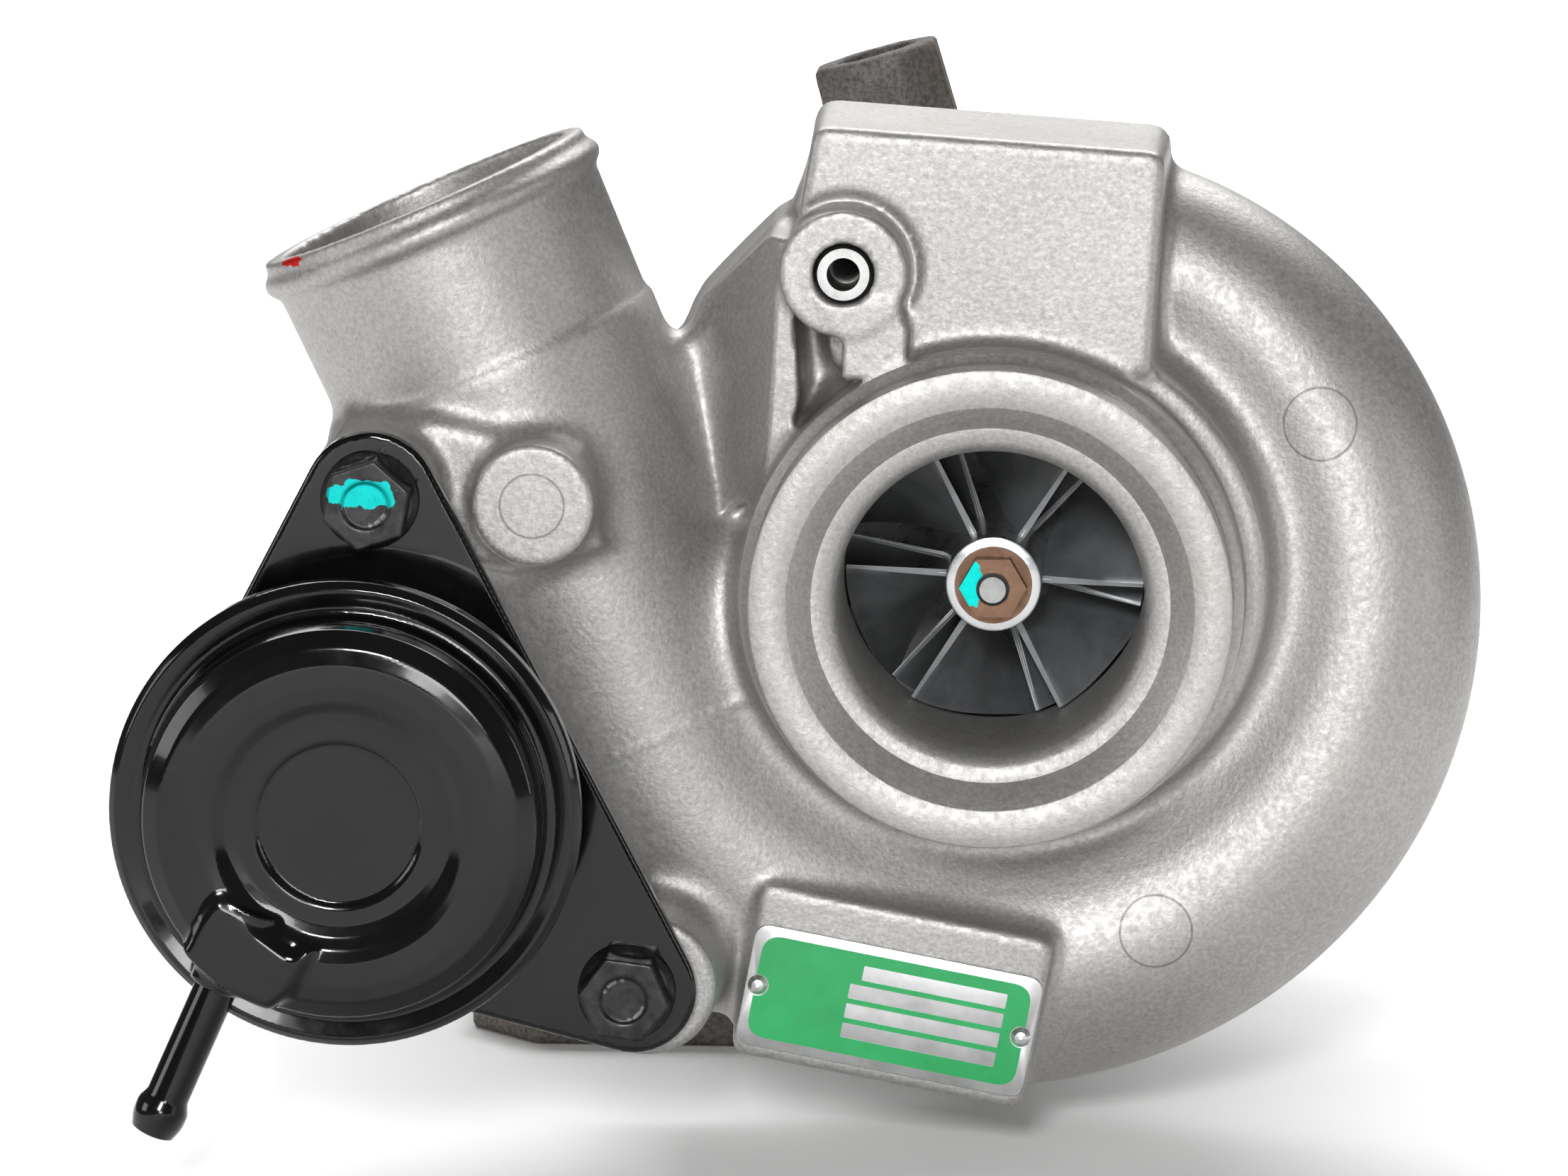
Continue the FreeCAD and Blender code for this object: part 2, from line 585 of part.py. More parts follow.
def bearing_housing():
    """The centre casting with its oil and coolant passages."""
    body = turned("bearing_core", [
        (0, "housing_front"), ("rear_bore - 0.15", "housing_front"), ("rear_bore - 0.15", 49.75),
        (48.45, 49.75), (48.45, 52.25), ("rear_bore - 0.15", 52.25), ("rear_bore - 0.15", "rear_step"),
        ("flange_bore - 0.2", "rear_step"), ("flange_bore - 0.2", "flange_rear"), (38.0, "flange_rear"),
        (31.0, 61.0), ("neck_radius", 66.0), ("neck_radius", 86.0), (31.0, 89.0),
        ("clamp_radius - 4", 90.0), ("clamp_radius", 92.5), ("clamp_radius", "clamp_plane"),
        (33.9, "clamp_plane"), (33.9, 97.0), (28.0, 97.0), (22.0, 93.5), (14.5, 93.5), (13.5, 102.5),
        (0, 102.5)])
    tower = doc.addObject("Part::Prism", "coolant_tower")
    tower.Polygon = 8
    tower.Circumradius = 10.8
    bind(tower, "Height", "tower_top - 20")
    lift = 20.0
    turn = math.radians(number("tower_angle"))
    place(tower, lift * math.cos(turn), "tower_y", lift * math.sin(turn), toward(number("tower_angle")))
    oil_boss = cylinder("oil_boss", 11.0, "oil_inlet_top - 20", 4.0, "oil_centre", 20.0, UPRIGHT)
    side_boss = radial_boss("coolant_side_boss", 10.0, 20.0, 45.0, -12.0, "oil_centre")
    drain = padded("drain_boss", [(-25, "-drain_face"), (25, "-drain_face"), (25, "8 - drain_face"),
                                  (14, "12 - drain_face"), (14, -15), (-14, -15), (-14, "12 - drain_face"),
                                  (-25, "8 - drain_face")], 65.0, 23.5)
    casting = joined("bearing_casting", [body, tower, oil_boss, side_boss, drain])
    bores = turned("bearing_bores", [
        (0, 47.0), (28.8, 47.0), (28.8, 49.9), (22.0, 49.9), (22.0, 50.2), (23.4, 50.2), (23.4, 51.75),
        (22.0, 51.75), (22.0, 59.65), (15.9, 59.65), (15.9, 64.0), (12.0, 64.0), (12.0, 66.6),
        ("bearing_bore", 66.6), ("bearing_bore", 67.0), (7.3, 67.0), (7.3, 67.95), ("bearing_bore", 67.95),
        ("bearing_bore", 76.05), (7.3, 76.05), (7.3, 77.0), ("bearing_bore", 77.0), ("bearing_bore", 83.95),
        (7.3, 83.95), (7.3, 84.9), ("bearing_bore", 84.9), ("bearing_bore", 93.05), (7.3, 93.05),
        (7.3, 94.0), ("bearing_bore", 94.0), ("bearing_bore", 95.0), (10.5, 95.0), (10.5, 97.6),
        (8.5, 97.6), (8.5, 103.0), (0, 103.0)])
    jacket = turned("water_jacket", [(14.0, 70.0), (22.0, 70.0), (22.0, 88.0), (14.0, 88.0)])
    keep = box("drain_keep", 25.0, 40.0, 40.0, -12.5, 60.0, -40.0)
    jacket_cut = less("water_jacket_part", jacket, keep)
    tower_hole = radial_boss("tower_hole", "coolant_thread", 18.0, "tower_top + 1", "tower_angle",
                             "tower_y")
    side_hole = radial_boss("side_hole", "coolant_thread", 18.0, 46.0, -12.0, "oil_centre")
    oil_hole = cylinder("oil_hole", 4.2, 12.0, 4.0, "oil_centre", "oil_inlet_top - 12", UPRIGHT)
    oil_drop = cylinder("oil_drop", 1.8, 24.0, 4.0, "oil_centre", 11.5, UPRIGHT)
    gallery = cylinder("oil_gallery", 1.5, 28.0, 4.0, 63.0, 12.0)
    feeds = [cylinder(f"oil_feed_{i}", 1.2, 10.0, 2.0, y, 4.0, UPRIGHT)
             for i, y in enumerate((72.0, 89.0))]
    drain_hole = cylinder("drain_hole", 8.5, 31.0, 0, "oil_centre", "-drain_face - 1", UPRIGHT)
    drain_front = box("drain_front", 14.0, 10.0, 18.0, -7.0, 61.5, -20.0)
    drain_link = box("drain_link", 14.0, 28.0, 6.0, -7.0, 62.0, -24.0)
    drain_bolts = [cylinder(f"drain_bolt_{i}", 3.4, 12.0, x, "oil_centre", "-drain_face - 1",
                            UPRIGHT) for i, x in enumerate((-19.0, 19.0))]
    node("bearing_housing", less("bearing_machined", casting, bores, jacket_cut, tower_hole, side_hole,
                                 oil_hole, oil_drop, gallery, *feeds, drain_hole, drain_front,
                                 drain_link, *drain_bolts))


# ---- turbine housing ----------------------------------------------------------------------------

VOLUTE_STATIONS = 10
VOLUTE_SWEEP = 300.0
OUTLET_HOLES = ((30, 26), (30, -26), (-20, 38), (-20, -62), (-66, -4), (-66, -46))
VALVE_RISE = 23.0


def volute_sections(wall, mouth):
    """Sections from the mouth in the manifold flange, up the duct and around the wheel."""
    first = number("volute_start_radius")
    last = number("volute_end_radius")
    sections = []
    for drop, extra in ((mouth, 3.8), (-55.0, 2.4), (-22.0, 0.6)):
        frame = ring_frame(180.0, number("volute_inner") + first, number("volute_front") + first, drop)
        sections.append((first + extra + wall, frame))
    for index in range(VOLUTE_STATIONS + 1):
        share = index / VOLUTE_STATIONS
        radius = math.sqrt(first ** 2 + (last ** 2 - first ** 2) * share)
        frame = ring_frame(180.0 - VOLUTE_SWEEP * share, number("volute_inner") + radius,
                           number("volute_front") + radius)
        sections.append((radius + wall, frame))
    return sections


def hull_outline(circles, segments=14):
    """The outline that a belt around circles of (x, z, radius) takes, as a face in the XZ plane."""
    points = []
    for x, z, radius in circles:
        for step in range(segments * 4):
            angle = 2 * math.pi * step / (segments * 4)
            points.append((x + radius * math.cos(angle), z + radius * math.sin(angle)))
    points.sort()
    chain = []
    for path in (points, points[::-1]):
        part = []
        for point in path:
            while len(part) > 1 and turn_sign(part[-2], part[-1], point) <= 0:
                part.pop()
            part.append(point)
        chain += part[:-1]
    corners = [FreeCAD.Vector(x, 0, z) for x, z in chain]
    return Part.Face(Part.makePolygon(corners + corners[:1]))


def turn_sign(first, second, third):
    """Positive where a path through three points turns counter-clockwise."""
    return ((second[0] - first[0]) * (third[1] - first[1])
            - (second[1] - first[1]) * (third[0] - first[0]))


def belt(name, circles, front, rear):
    """A solid with a belt outline, from y = front to y = rear."""
    face = hull_outline(circles)
    face.translate(Y_UP * number(front))
    return shaped(name, face.extrude(Y_UP * (number(rear) - number(front))))


def spindle_height():
    """The Z of the wastegate spindle: the rod's line, less the mean height of the swinging lever pin."""
    half_swing = math.radians(number("lever_half_angle"))
    return number("can_z") - number("lever_radius") * (1 + math.cos(half_swing)) / 2


def turbine_housing():
    """The volute, its duct from the manifold flange, and the chamber that holds the wastegate."""
    spindle_z = spindle_height()
    port_z = spindle_z + VALVE_RISE
    valve_x = number("valve_x")
    core = turned("turbine_core", [
        (0, "clamp_plane"), ("clamp_radius", "clamp_plane"), ("clamp_radius", 97.5), (36.5, 100.0),
        (36.5, 104.0), (40.0, 108.0), (40.0, 122.0), (32.0, 128.0), (32.0, 140.0), (0, 140.0)])
    volute = duct("volute_outside", volute_sections(number("volute_wall"), number("manifold_face + 3")), 3)
    half_width = "manifold_width / 2"
    half_depth = "manifold_depth / 2"
    short_width = "manifold_width / 2 - manifold_corner"
    short_depth = "manifold_depth / 2 - manifold_corner"
    flange = padded("manifold_plate", [
        (short_width, f"-{half_depth}"), (half_width, f"manifold_corner - {half_depth}"),
        (half_width, short_depth), (short_width, half_depth),
        (f"manifold_corner - {half_width}", half_depth), (f"-{half_width}", short_depth),
        (f"-{half_width}", f"manifold_corner - {half_depth}"),
        (f"manifold_corner - {half_width}", f"-{half_depth}")],
        "duct_y", "manifold_thickness", "duct_x", "manifold_face + manifold_thickness",
        FreeCAD.Rotation(FreeCAD.Vector(1, 0, 0), -90))
    outer_circles = [(0, 0, 34.0), (valve_x, port_z, 21.5), (valve_x, spindle_z, 14.0)]
    chamber = belt("outlet_chamber", outer_circles, 128.0, "outlet_flange_rear - 4")
    outlet_flange = belt("outlet_flange", [(x, z, 11.0) for x, z in OUTLET_HOLES],
                         "outlet_flange_front", "outlet_flange_rear")
    spindle_boss = cylinder("spindle_boss", 8.5, 27.0, -82.0, "spindle_y", spindle_z, ALONG_X)
    casting = joined("turbine_casting", [core, volute, flange, chamber, outlet_flange, spindle_boss])
    bores = turned("turbine_bores", [
        (0, 94.0), (34.0, 94.0), (34.0, 98.0), (31.2, 98.0), (28.0, 103.5), (28.0, 104.6),
        (35.0, 104.6), (35.0, 113.5), (26.7, 113.5), (24.8, 117.0), (23.3, 121.0), (23.1, 124.0),
        (23.1, 135.0), (24.5, 137.0), (0, 137.0)])
    flow = duct("volute_inside", volute_sections(0.0, number("manifold_face - 1")), 3)
    inner_circles = [(0, 0, 29.0), (valve_x, port_z, 17.5), (valve_x, spindle_z, 9.5)]
    room = belt("chamber_room", inner_circles, "chamber_front", "outlet_flange_rear + 1")
    seat = cylinder("valve_seat_bore", "seat_bore", 18.0, valve_x, 120.0, port_z)
    spindle_hole = cylinder("spindle_hole", 6.0, 40.0, -83.0, "spindle_y", spindle_z, ALONG_X)
    holes = []
    for index, (side_x, side_y) in enumerate(((-1, -1), (1, -1), (1, 1), (-1, 1))):
        x = number("duct_x") + side_x * number("manifold_pitch_x") / 2
        y = number("duct_y") + side_y * number("manifold_pitch_y") / 2
        holes.append(cylinder(f"manifold_hole_{index}", "manifold_hole", 16.0, x, y, "manifold_face - 1",
                              UPRIGHT))
    for index, (x, z) in enumerate(OUTLET_HOLES):
        holes.append(cylinder(f"outlet_hole_{index}", 4.2, 14.0, x, "outlet_flange_front - 1", z))
    node("turbine_housing", less("turbine_machined", casting, bores, flow, room, seat, spindle_hole,
                                 *holes))


def v_band():
    """The clamp that holds the two hot flanges together, with its bolt and nut."""
    band = turned("band_ring", [
        (37.0, 90.2), (38.2, 89.6), (43.4, 91.6), (43.4, 98.4), (38.2, 100.4), (37.0, 99.8), (40.2, 97.65),
        (40.2, 92.35)])
    gap = box("band_gap", 7.0, 20.0, 30.0, -3.5, 85.0, 30.0)
    lugs = []
    for index, x in enumerate((-7.5, 3.5)):
        lugs.append(box(f"band_lug_{index}", 4.0, 12.0, 14.0, x, 89.0, 41.0))
    hole = cylinder("band_hole", 3.1, 40.0, -20.0, 95.0, 49.5, ALONG_X)
    turn = around(58.0 - 90.0)
    band_cut = less("band_split", joined("band_blank", [less("band_open", band, gap)] + lugs), hole)
    bolt = joined("band_bolt_blank", [cylinder("band_bolt_shank", 3.0, 30.0, -15.5, 95.0, 49.5, ALONG_X),
                                      hexagon("band_bolt_head", 10.0, 5.0, -12.5, 95.0, 49.5, ALONG_X)])
    nut = less("band_nut_drilled", hexagon("band_nut_blank", 10.0, 5.0, 7.6, 95.0, 49.5, ALONG_X),
               cylinder("band_nut_hole", 3.02, 8.0, 7.0, 95.0, 49.5, ALONG_X))
    for label, solid in (("v_band_clamp", band_cut), ("v_band_bolt", bolt), ("v_band_nut", nut)):
        solid.Placement = FreeCAD.Placement(FreeCAD.Vector(), turn)
        node(label, solid)


# ---- wastegate ----------------------------------------------------------------------------------

def wastegate():
    """The valve on its arm inside the chamber, and the lever outside that the rod pulls."""
    spindle_z = spindle_height()
    port_z = spindle_z + VALVE_RISE
    valve_x = number("valve_x")
    bush = turned("bush_blank", [
        ("spindle_radius + running_gap", 0), (5.98, 0), (5.98, 24.0),
        ("spindle_radius + running_gap", 24.0)],
        -83.0, "spindle_y", spindle_z, FreeCAD.Rotation(Y_UP, FreeCAD.Vector(1, 0, 0)))
    node("spindle_bush", bush)
    spindle = cylinder("spindle_blank", "spindle_radius", 57.0, -90.8, "spindle_y", spindle_z, ALONG_X)
    node("wastegate_spindle", spindle)
    hub = cylinder("arm_hub", 7.0, 13.0, -46.5, "spindle_y", spindle_z, ALONG_X)
    bar = box("arm_bar", 9.0, 6.0, VALVE_RISE, valve_x - 4.5, 141.0, spindle_z)
    pad = cylinder("arm_pad", 6.0, 6.0, valve_x, 141.0, port_z)
    hub_hole = cylinder("arm_hub_hole", "spindle_radius + press_gap", 20.0, -50.0, "spindle_y",
                        spindle_z, ALONG_X)
    stem_hole = cylinder("arm_stem_hole", 3.1, 10.0, valve_x, 139.0, port_z)
    node("wastegate_arm", less("arm_drilled", joined("arm_blank", [hub, bar, pad]), hub_hole, stem_hole))
    node("wastegate_valve", turned("valve_blank", [
        (0, 136.05), ("valve_radius - 0.6", 136.05), ("valve_radius", 136.6), ("valve_radius", 138.6),
        (7.5, 140.9), (3.0, 140.9), (3.0, 149.4), (2.4, 150.0), (0, 150.0)], valve_x, 0, port_z))
    node("valve_washer", turned("washer_blank", [
        (3.05, 147.1), (6.5, 147.1), (6.5, 148.6), (3.05, 148.6)], valve_x, 0, port_z))
    lever_turn = FreeCAD.Rotation(FreeCAD.Vector(1, 0, 0), number("lever_half_angle"))
    lever_blank = joined("lever_blank", [
        cylinder("lever_hub", 7.5, 4.0, -90.5, 0, 0, ALONG_X),
        cylinder("lever_tip", 6.0, 4.0, -90.5, 0, "lever_radius", ALONG_X),
        box("lever_bar", 4.0, 10.0, "lever_radius", -90.5, -5.0, 0)])
    lever_bore = cylinder("lever_bore", "spindle_radius + press_gap", 8.0, -92.0, 0, 0, ALONG_X)
    pin_bore = cylinder("lever_pin_bore", "lever_pin_radius + press_gap", 8.0, -92.0, 0, "lever_radius",
                        ALONG_X)
    lever = less("lever_drilled", lever_blank, lever_bore, pin_bore)
    pin = joined("pin_blank", [
        cylinder("pin_shank", "lever_pin_radius", 14.3, -100.3, 0, "lever_radius", ALONG_X),
        cylinder("pin_head", 4.0, 1.4, -86.4, 0, "lever_radius", ALONG_X)])
    groove = less("pin_groove", cylinder("pin_groove_out", 3.0, 0.9, -98.9, 0, "lever_radius", ALONG_X),
                  cylinder("pin_groove_in", 1.9, 0.9, -98.9, 0, "lever_radius", ALONG_X))
    pin_cut = less("pin_grooved", pin, groove)
    clip = less("clip_blank", cylinder("clip_disc", 4.6, 0.7, -98.8, 0, "lever_radius", ALONG_X),
                cylinder("clip_bore", 1.95, 2.0, -99.5, 0, "lever_radius", ALONG_X),
                box("clip_mouth", 2.0, 2.6, 6.0, -99.5, -1.3, "lever_radius"))
    for label, solid in (("wastegate_lever", lever), ("lever_pin", pin_cut), ("pin_clip", clip)):
        solid.Placement = FreeCAD.Placement(FreeCAD.Vector(0, number("spindle_y"), spindle_z), lever_turn)
        node(label, solid)


# ---- actuator -----------------------------------------------------------------------------------

NIPPLE_WAY = FreeCAD.Vector(-0.407, 0, -0.913)
SPRING_HALF_TURNS = 7
SPRING_RISE = 14.9
SPRING_ENDS = (13.0, 23.0)


def bracket():
    """The plate the actuator hangs on, and the two bolts that hold it."""
    plate = belt("bracket_blank", [
        (number("upper_bolt_x"), number("upper_bolt_z"), 10.0),
        (number("lower_bolt_x") + 0.8, number("lower_bolt_z"), 9.6),
        (number("can_x"), number("can_z"), 28.6)], "boss_face - bracket_thickness", "boss_face")
    holes = [cylinder("bracket_upper_hole", 4.3, 5.0, "upper_bolt_x", "boss_face - 4", "upper_bolt_z"),
             cylinder("bracket_lower_hole", 4.3, 5.0, "lower_bolt_x", "boss_face - 4", "lower_bolt_z"),
             cylinder("bracket_rod_hole", 6.4, 5.0, "can_x", "boss_face - 4", "can_z")]
    node("actuator_bracket", less("bracket_drilled", plate, *holes))
    bolts = []
    for name in ("upper", "lower"):
        x = f"{name}_bolt_x"
        z = f"{name}_bolt_z"
        head = hexagon(f"{name}_head", 12.0, 6.4, x, -17.4, z)
        collar = cone(f"{name}_collar", 6.6, 7.4, 1.4, x, -12.4, z)
        shank = cylinder(f"{name}_shank", 4.0, 24.0, x, -14.0, z)
        bolts.append(joined(f"{name}_bolt", [head, collar, shank]))
    node("bracket_bolts", grouped("bolt_group", bolts))


def actuator():
    """The pressure can: shell, cap, nipple, diaphragm, piston, guide and rod."""
    node("actuator_shell", turned("shell_blank", [
        (6.0, -11.0), (27.0, -11.0), (31.5, -15.5), (31.5, -24.2), (33.8, -24.2), (33.8, -25.4),
        (30.3, -25.4), (30.3, -16.0), (26.5, -12.2), (6.0, -12.2)], "can_x", 0, "can_z"))
    cap = turned("cap_blank", [
        (34.0, -23.1), (35.0, -23.6), (35.0, -27.6), (34.3, -28.2), (31.0, -27.6), (29.8, -29.0),
        (29.8, -34.0), (27.6, -36.8), (26.0, -37.2), (19.6, -37.2), (18.2, -34.9), (0, -34.9),
        (0, -33.7), (17.8, -33.7), (19.0, -36.0), (25.6, -36.0), (28.6, -33.0), (28.6, -27.0),
        (30.6, -26.5), (33.9, -26.5), (33.9, -24.1), (32.0, -24.1), (32.0, -23.1)], "can_x", 0, "can_z")
    hole = cylinder("cap_hole", 3.22, 20.0, -108.2, -30.4, -41.8, FreeCAD.Rotation(Z_UP, NIPPLE_WAY))
    node("actuator_cap", less("cap_drilled", cap, hole))
    node("hose_nipple", turned("nipple_blank", [
        (1.9, 0), (3.2, 0), (3.2, 23.0), (3.95, 24.5), (3.95, 27.0), (3.3, 29.2), (1.9, 29.2)],
        -111.2, -30.4, -48.5, FreeCAD.Rotation(Y_UP, NIPPLE_WAY)))
    node("diaphragm", turned("diaphragm_blank", [
        (33.8, -25.45), (29.8, -25.45), (28.2, -22.4), (24.0, -22.4), (22.0, -25.4), (21.95, -30.5),
        (3.05, -30.5), (3.05, -31.4), (22.9, -31.4), (22.9, -25.6), (24.4, -23.3), (27.8, -23.3),
        (29.4, -26.4), (33.8, -26.4)], "can_x", 0, "can_z"))
    node("piston_cup", turned("piston_blank", [
        (3.05, -30.45), (21.8, -30.45), (21.8, -25.2), (20.7, -25.2), (20.7, -29.4), (3.05, -29.4)],
        "can_x", 0, "can_z"))
    node("piston_washer", turned("piston_washer_blank", [
        (3.05, -31.45), (3.05, -32.4), (7.0, -32.4), (7.0, -31.45)], "can_x", 0, "can_z"))
    node("rod_guide", turned("guide_blank", [
        ("rod_radius + running_gap", -14.2), (7.4, -14.2), (7.4, -12.25), (5.95, -12.25), (5.95, -6.8),
        ("rod_radius + running_gap", -6.8)], "can_x", 0, "can_z"))
    node("actuator_rod", turned("rod_blank", [
        (0, -33.3), (3.8, -33.3), (3.8, -32.45), ("rod_radius", -32.45), ("rod_radius", 126.0), (0, 126.0)],
        "can_x", 0, "can_z"))
    spring()
    rod_end()


def spring():
    """A conical coil made of half turns, whose turns nest as the rod moves out."""
    small, large = SPRING_ENDS
    ends = []
    for index in range(SPRING_HALF_TURNS + 1):
        share = index / SPRING_HALF_TURNS
        reach = (small + (large - small) * share) * (-1) ** index
        ends.append(FreeCAD.Vector(reach, 0, SPRING_RISE * share))
    pieces = []
    for index in range(SPRING_HALF_TURNS):
        chord = ends[index + 1] - ends[index]
        axis = chord.cross(Y_UP) * (-1) ** index
        circle = Part.Circle(ends[index], Y_UP, number("spring_wire"))
        disc = Part.Face(Part.Wire(circle.toShape()))
        pieces.append(disc.revolve((ends[index] + ends[index + 1]) / 2, axis, 180))
    coil = shaped("spring_coil", pieces[0].multiFuse(pieces[1:]))
    node("actuator_spring", place(coil, "can_x", -28.25, "can_z", ALONG_Y))


def rod_end():
    """The eye screwed on the rod, which the lever's pin passes through, and its lock nut."""
    half_swing = math.radians(number("lever_half_angle"))
    pin_y = number("spindle_y") - number("lever_radius") * math.sin(half_swing)
    socket = cylinder("rod_socket", 5.2, 20.0, "can_x", 112.0, "can_z")
    tongue = box("rod_tongue", 4.0, pin_y - 124.0, 11.0, "can_x - 2", 124.0, "can_z - 5.5")
    eye = cylinder("rod_eye", 7.0, 4.0, "can_x - 2", pin_y, "can_z", ALONG_X)
    blank = joined("rod_end_blank", [socket, tongue, eye])
    thread = cylinder("rod_thread", "rod_radius + press_gap", 16.0, "can_x", 111.0, "can_z")
    hole = cylinder("rod_eye_hole", "rod_eye_radius", 8.0, "can_x - 4", pin_y, "can_z", ALONG_X)
    node("rod_end", less("rod_end_drilled", blank, thread, hole))
    nut = hexagon("rod_nut_blank", 10.0, 4.8, "can_x", 107.1, "can_z")
    nut_hole = cylinder("rod_nut_hole", "rod_radius + press_gap", 8.0, "can_x", 105.0, "can_z")
    node("rod_lock_nut", less("rod_nut_drilled", nut, nut_hole))


# ---- build, check and write ---------------------------------------------------------------------

compressor_housing()
data_plate()
compressor_wheel()
compressor_nut()
rotor_shaft()
thrust_stack()
seals()
turbine_wheel()
bearing_housing()
turbine_housing()
v_band()
wastegate()
bracket()
actuator()
doc.recompute()

for item in doc.Objects:
    if "Invalid" in item.State or "Error" in item.State:
        raise RuntimeError(f"{item.Name} failed: {item.State}")

os.makedirs("parts", exist_ok=True)
for item in nodes:
    shape = item.Shape
    if shape.isNull() or not shape.isValid():
        raise RuntimeError(f"{item.Label} has no valid shape")
    shape.exportStep(f"parts/{item.Label}.step")
    print(f"{item.Label}: {len(shape.Solids)} solids, {shape.Volume:.0f} mm3")
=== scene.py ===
"""Looks of the turbocharger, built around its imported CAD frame. Shapes are worked out in millimetres."""
import json
import math

import bmesh
import bpy
import numpy as np
import openvdb
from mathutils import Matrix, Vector
from mathutils.geometry import delaunay_2d_cdt


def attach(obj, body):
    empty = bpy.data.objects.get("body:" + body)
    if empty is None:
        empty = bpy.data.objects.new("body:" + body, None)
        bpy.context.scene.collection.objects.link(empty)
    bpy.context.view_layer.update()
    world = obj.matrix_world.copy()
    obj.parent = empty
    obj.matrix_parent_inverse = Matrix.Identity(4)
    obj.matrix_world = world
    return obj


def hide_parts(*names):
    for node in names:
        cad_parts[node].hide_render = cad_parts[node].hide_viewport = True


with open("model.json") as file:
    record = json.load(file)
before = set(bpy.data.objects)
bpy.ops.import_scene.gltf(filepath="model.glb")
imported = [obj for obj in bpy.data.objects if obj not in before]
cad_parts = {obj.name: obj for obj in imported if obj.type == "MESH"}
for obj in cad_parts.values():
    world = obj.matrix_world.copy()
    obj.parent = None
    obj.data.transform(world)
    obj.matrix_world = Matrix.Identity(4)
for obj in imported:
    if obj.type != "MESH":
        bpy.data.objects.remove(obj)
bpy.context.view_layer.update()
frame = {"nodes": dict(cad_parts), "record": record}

MM = 0.001
FAR = 1.0e3


# ---- distance fields ---------------------------------------------------------
# A field is a function of x, y and z arrays, in millimetres, negative inside the solid.

def smooth_union(first, second, blend):
    """Union with a cast fillet of about the blend's size."""
    mix = np.clip(0.5 + 0.5 * (second - first) / blend, 0, 1)
    return second + (first - second) * mix - blend * mix * (1 - mix)


def smooth_cut(solid, tool, blend):
    """The solid less the tool, with a rounded edge."""
    return -smooth_union(-solid, tool, blend)


def polygon_distance(u, v, corners):
    """Signed distance to a polygon in a plane."""
    best = None
    inside = None
    count = len(corners)
    for index in range(count):
        au, av = corners[index]
        bu, bv = corners[(index + 1) % count]
        eu, ev = bu - au, bv - av
        share = np.clip(((u - au) * eu + (v - av) * ev) / (eu * eu + ev * ev), 0, 1)
        distance = (u - au - share * eu) ** 2 + (v - av - share * ev) ** 2
        best = distance if best is None else np.minimum(best, distance)
        crosses = ((av > v) != (bv > v)) & (u < eu * (v - av) / (ev if ev else 1e-9) + au)
        inside = crosses if inside is None else inside ^ crosses
    return np.where(inside, -1, 1) * np.sqrt(best)


def slab(distance, y, low, high, rounding=0.0):
    """An outline's distance turned into a solid between two heights, with rounded edges."""
    depth = np.maximum(low - y, y - high) + rounding
    side = distance + rounding
    outside = np.hypot(np.maximum(side, 0), np.maximum(depth, 0))
    return np.minimum(np.maximum(side, depth), 0) + outside - rounding


def disc(x, y, z, cx, cz, radius, low, high, rounding=0.0, taper=0.0):
    """A boss along Y, wider towards its root by the taper."""
    distance = np.hypot(x - cx, z - cz) - radius - (y - low) * taper
    return slab(distance, y, low, high, rounding)


def turned_field(x, y, z, corners, rounding=0.0):
    """A solid turned about the rotor axis, from (radius, y) corners."""
    return polygon_distance(np.hypot(x, z), y, corners) - rounding


def rod_distance(x, y, z, start, end, radius, end_radius=None):
    """A round bar between two points, with flat ends."""
    start, end = np.array(start, float), np.array(end, float)
    length = np.linalg.norm(end - start)
    way = (end - start) / length
    along = (x - start[0]) * way[0] + (y - start[1]) * way[1] + (z - start[2]) * way[2]
    square = (x - start[0]) ** 2 + (y - start[1]) ** 2 + (z - start[2]) ** 2 - along ** 2
    reach = radius if end_radius is None else radius + (end_radius - radius) * np.clip(along / length, 0, 1)
    across = np.sqrt(np.maximum(square, 0)) - reach
    depth = np.maximum(-along, along - length)
    return np.minimum(np.maximum(across, depth), 0) + np.hypot(np.maximum(across, 0), np.maximum(depth, 0))


# ---- meshing -----------------------------------------------------------------

BLOCK_LAYERS = 24
PULLS = 3


def field_mesh(name, field, low, high, voxel):
    """A mesh of a field's surface: a voxel mesh whose points are then moved onto the exact surface."""
    axes = [np.arange(a, b + voxel, voxel, dtype=np.float32) for a, b in zip(low, high)]
    values = np.empty([len(axis) for axis in axes], np.float32)
    for start in range(0, len(axes[0]), BLOCK_LAYERS):
        x = axes[0][start:start + BLOCK_LAYERS, None, None]
        block = field(x, axes[1][None, :, None], axes[2][None, None, :])
        values[start:start + BLOCK_LAYERS] = np.clip(block, -3 * voxel, 3 * voxel)
    grid = openvdb.FloatGrid(3 * voxel)
    grid.copyFromArray(values)
    points, quads = grid.convertToQuads(isovalue=0)
    points = points.astype(np.float64) * voxel + np.array(low)
    for _ in range(PULLS):
        points = pull(points, field, voxel)
    mesh = bpy.data.meshes.new(name)
    mesh.from_pydata((points * MM).tolist(), [], quads[:, ::-1].tolist())
    mesh.polygons.foreach_set("use_smooth", np.ones(len(mesh.polygons), bool))
    mesh.update()
    return new_object(name, mesh)


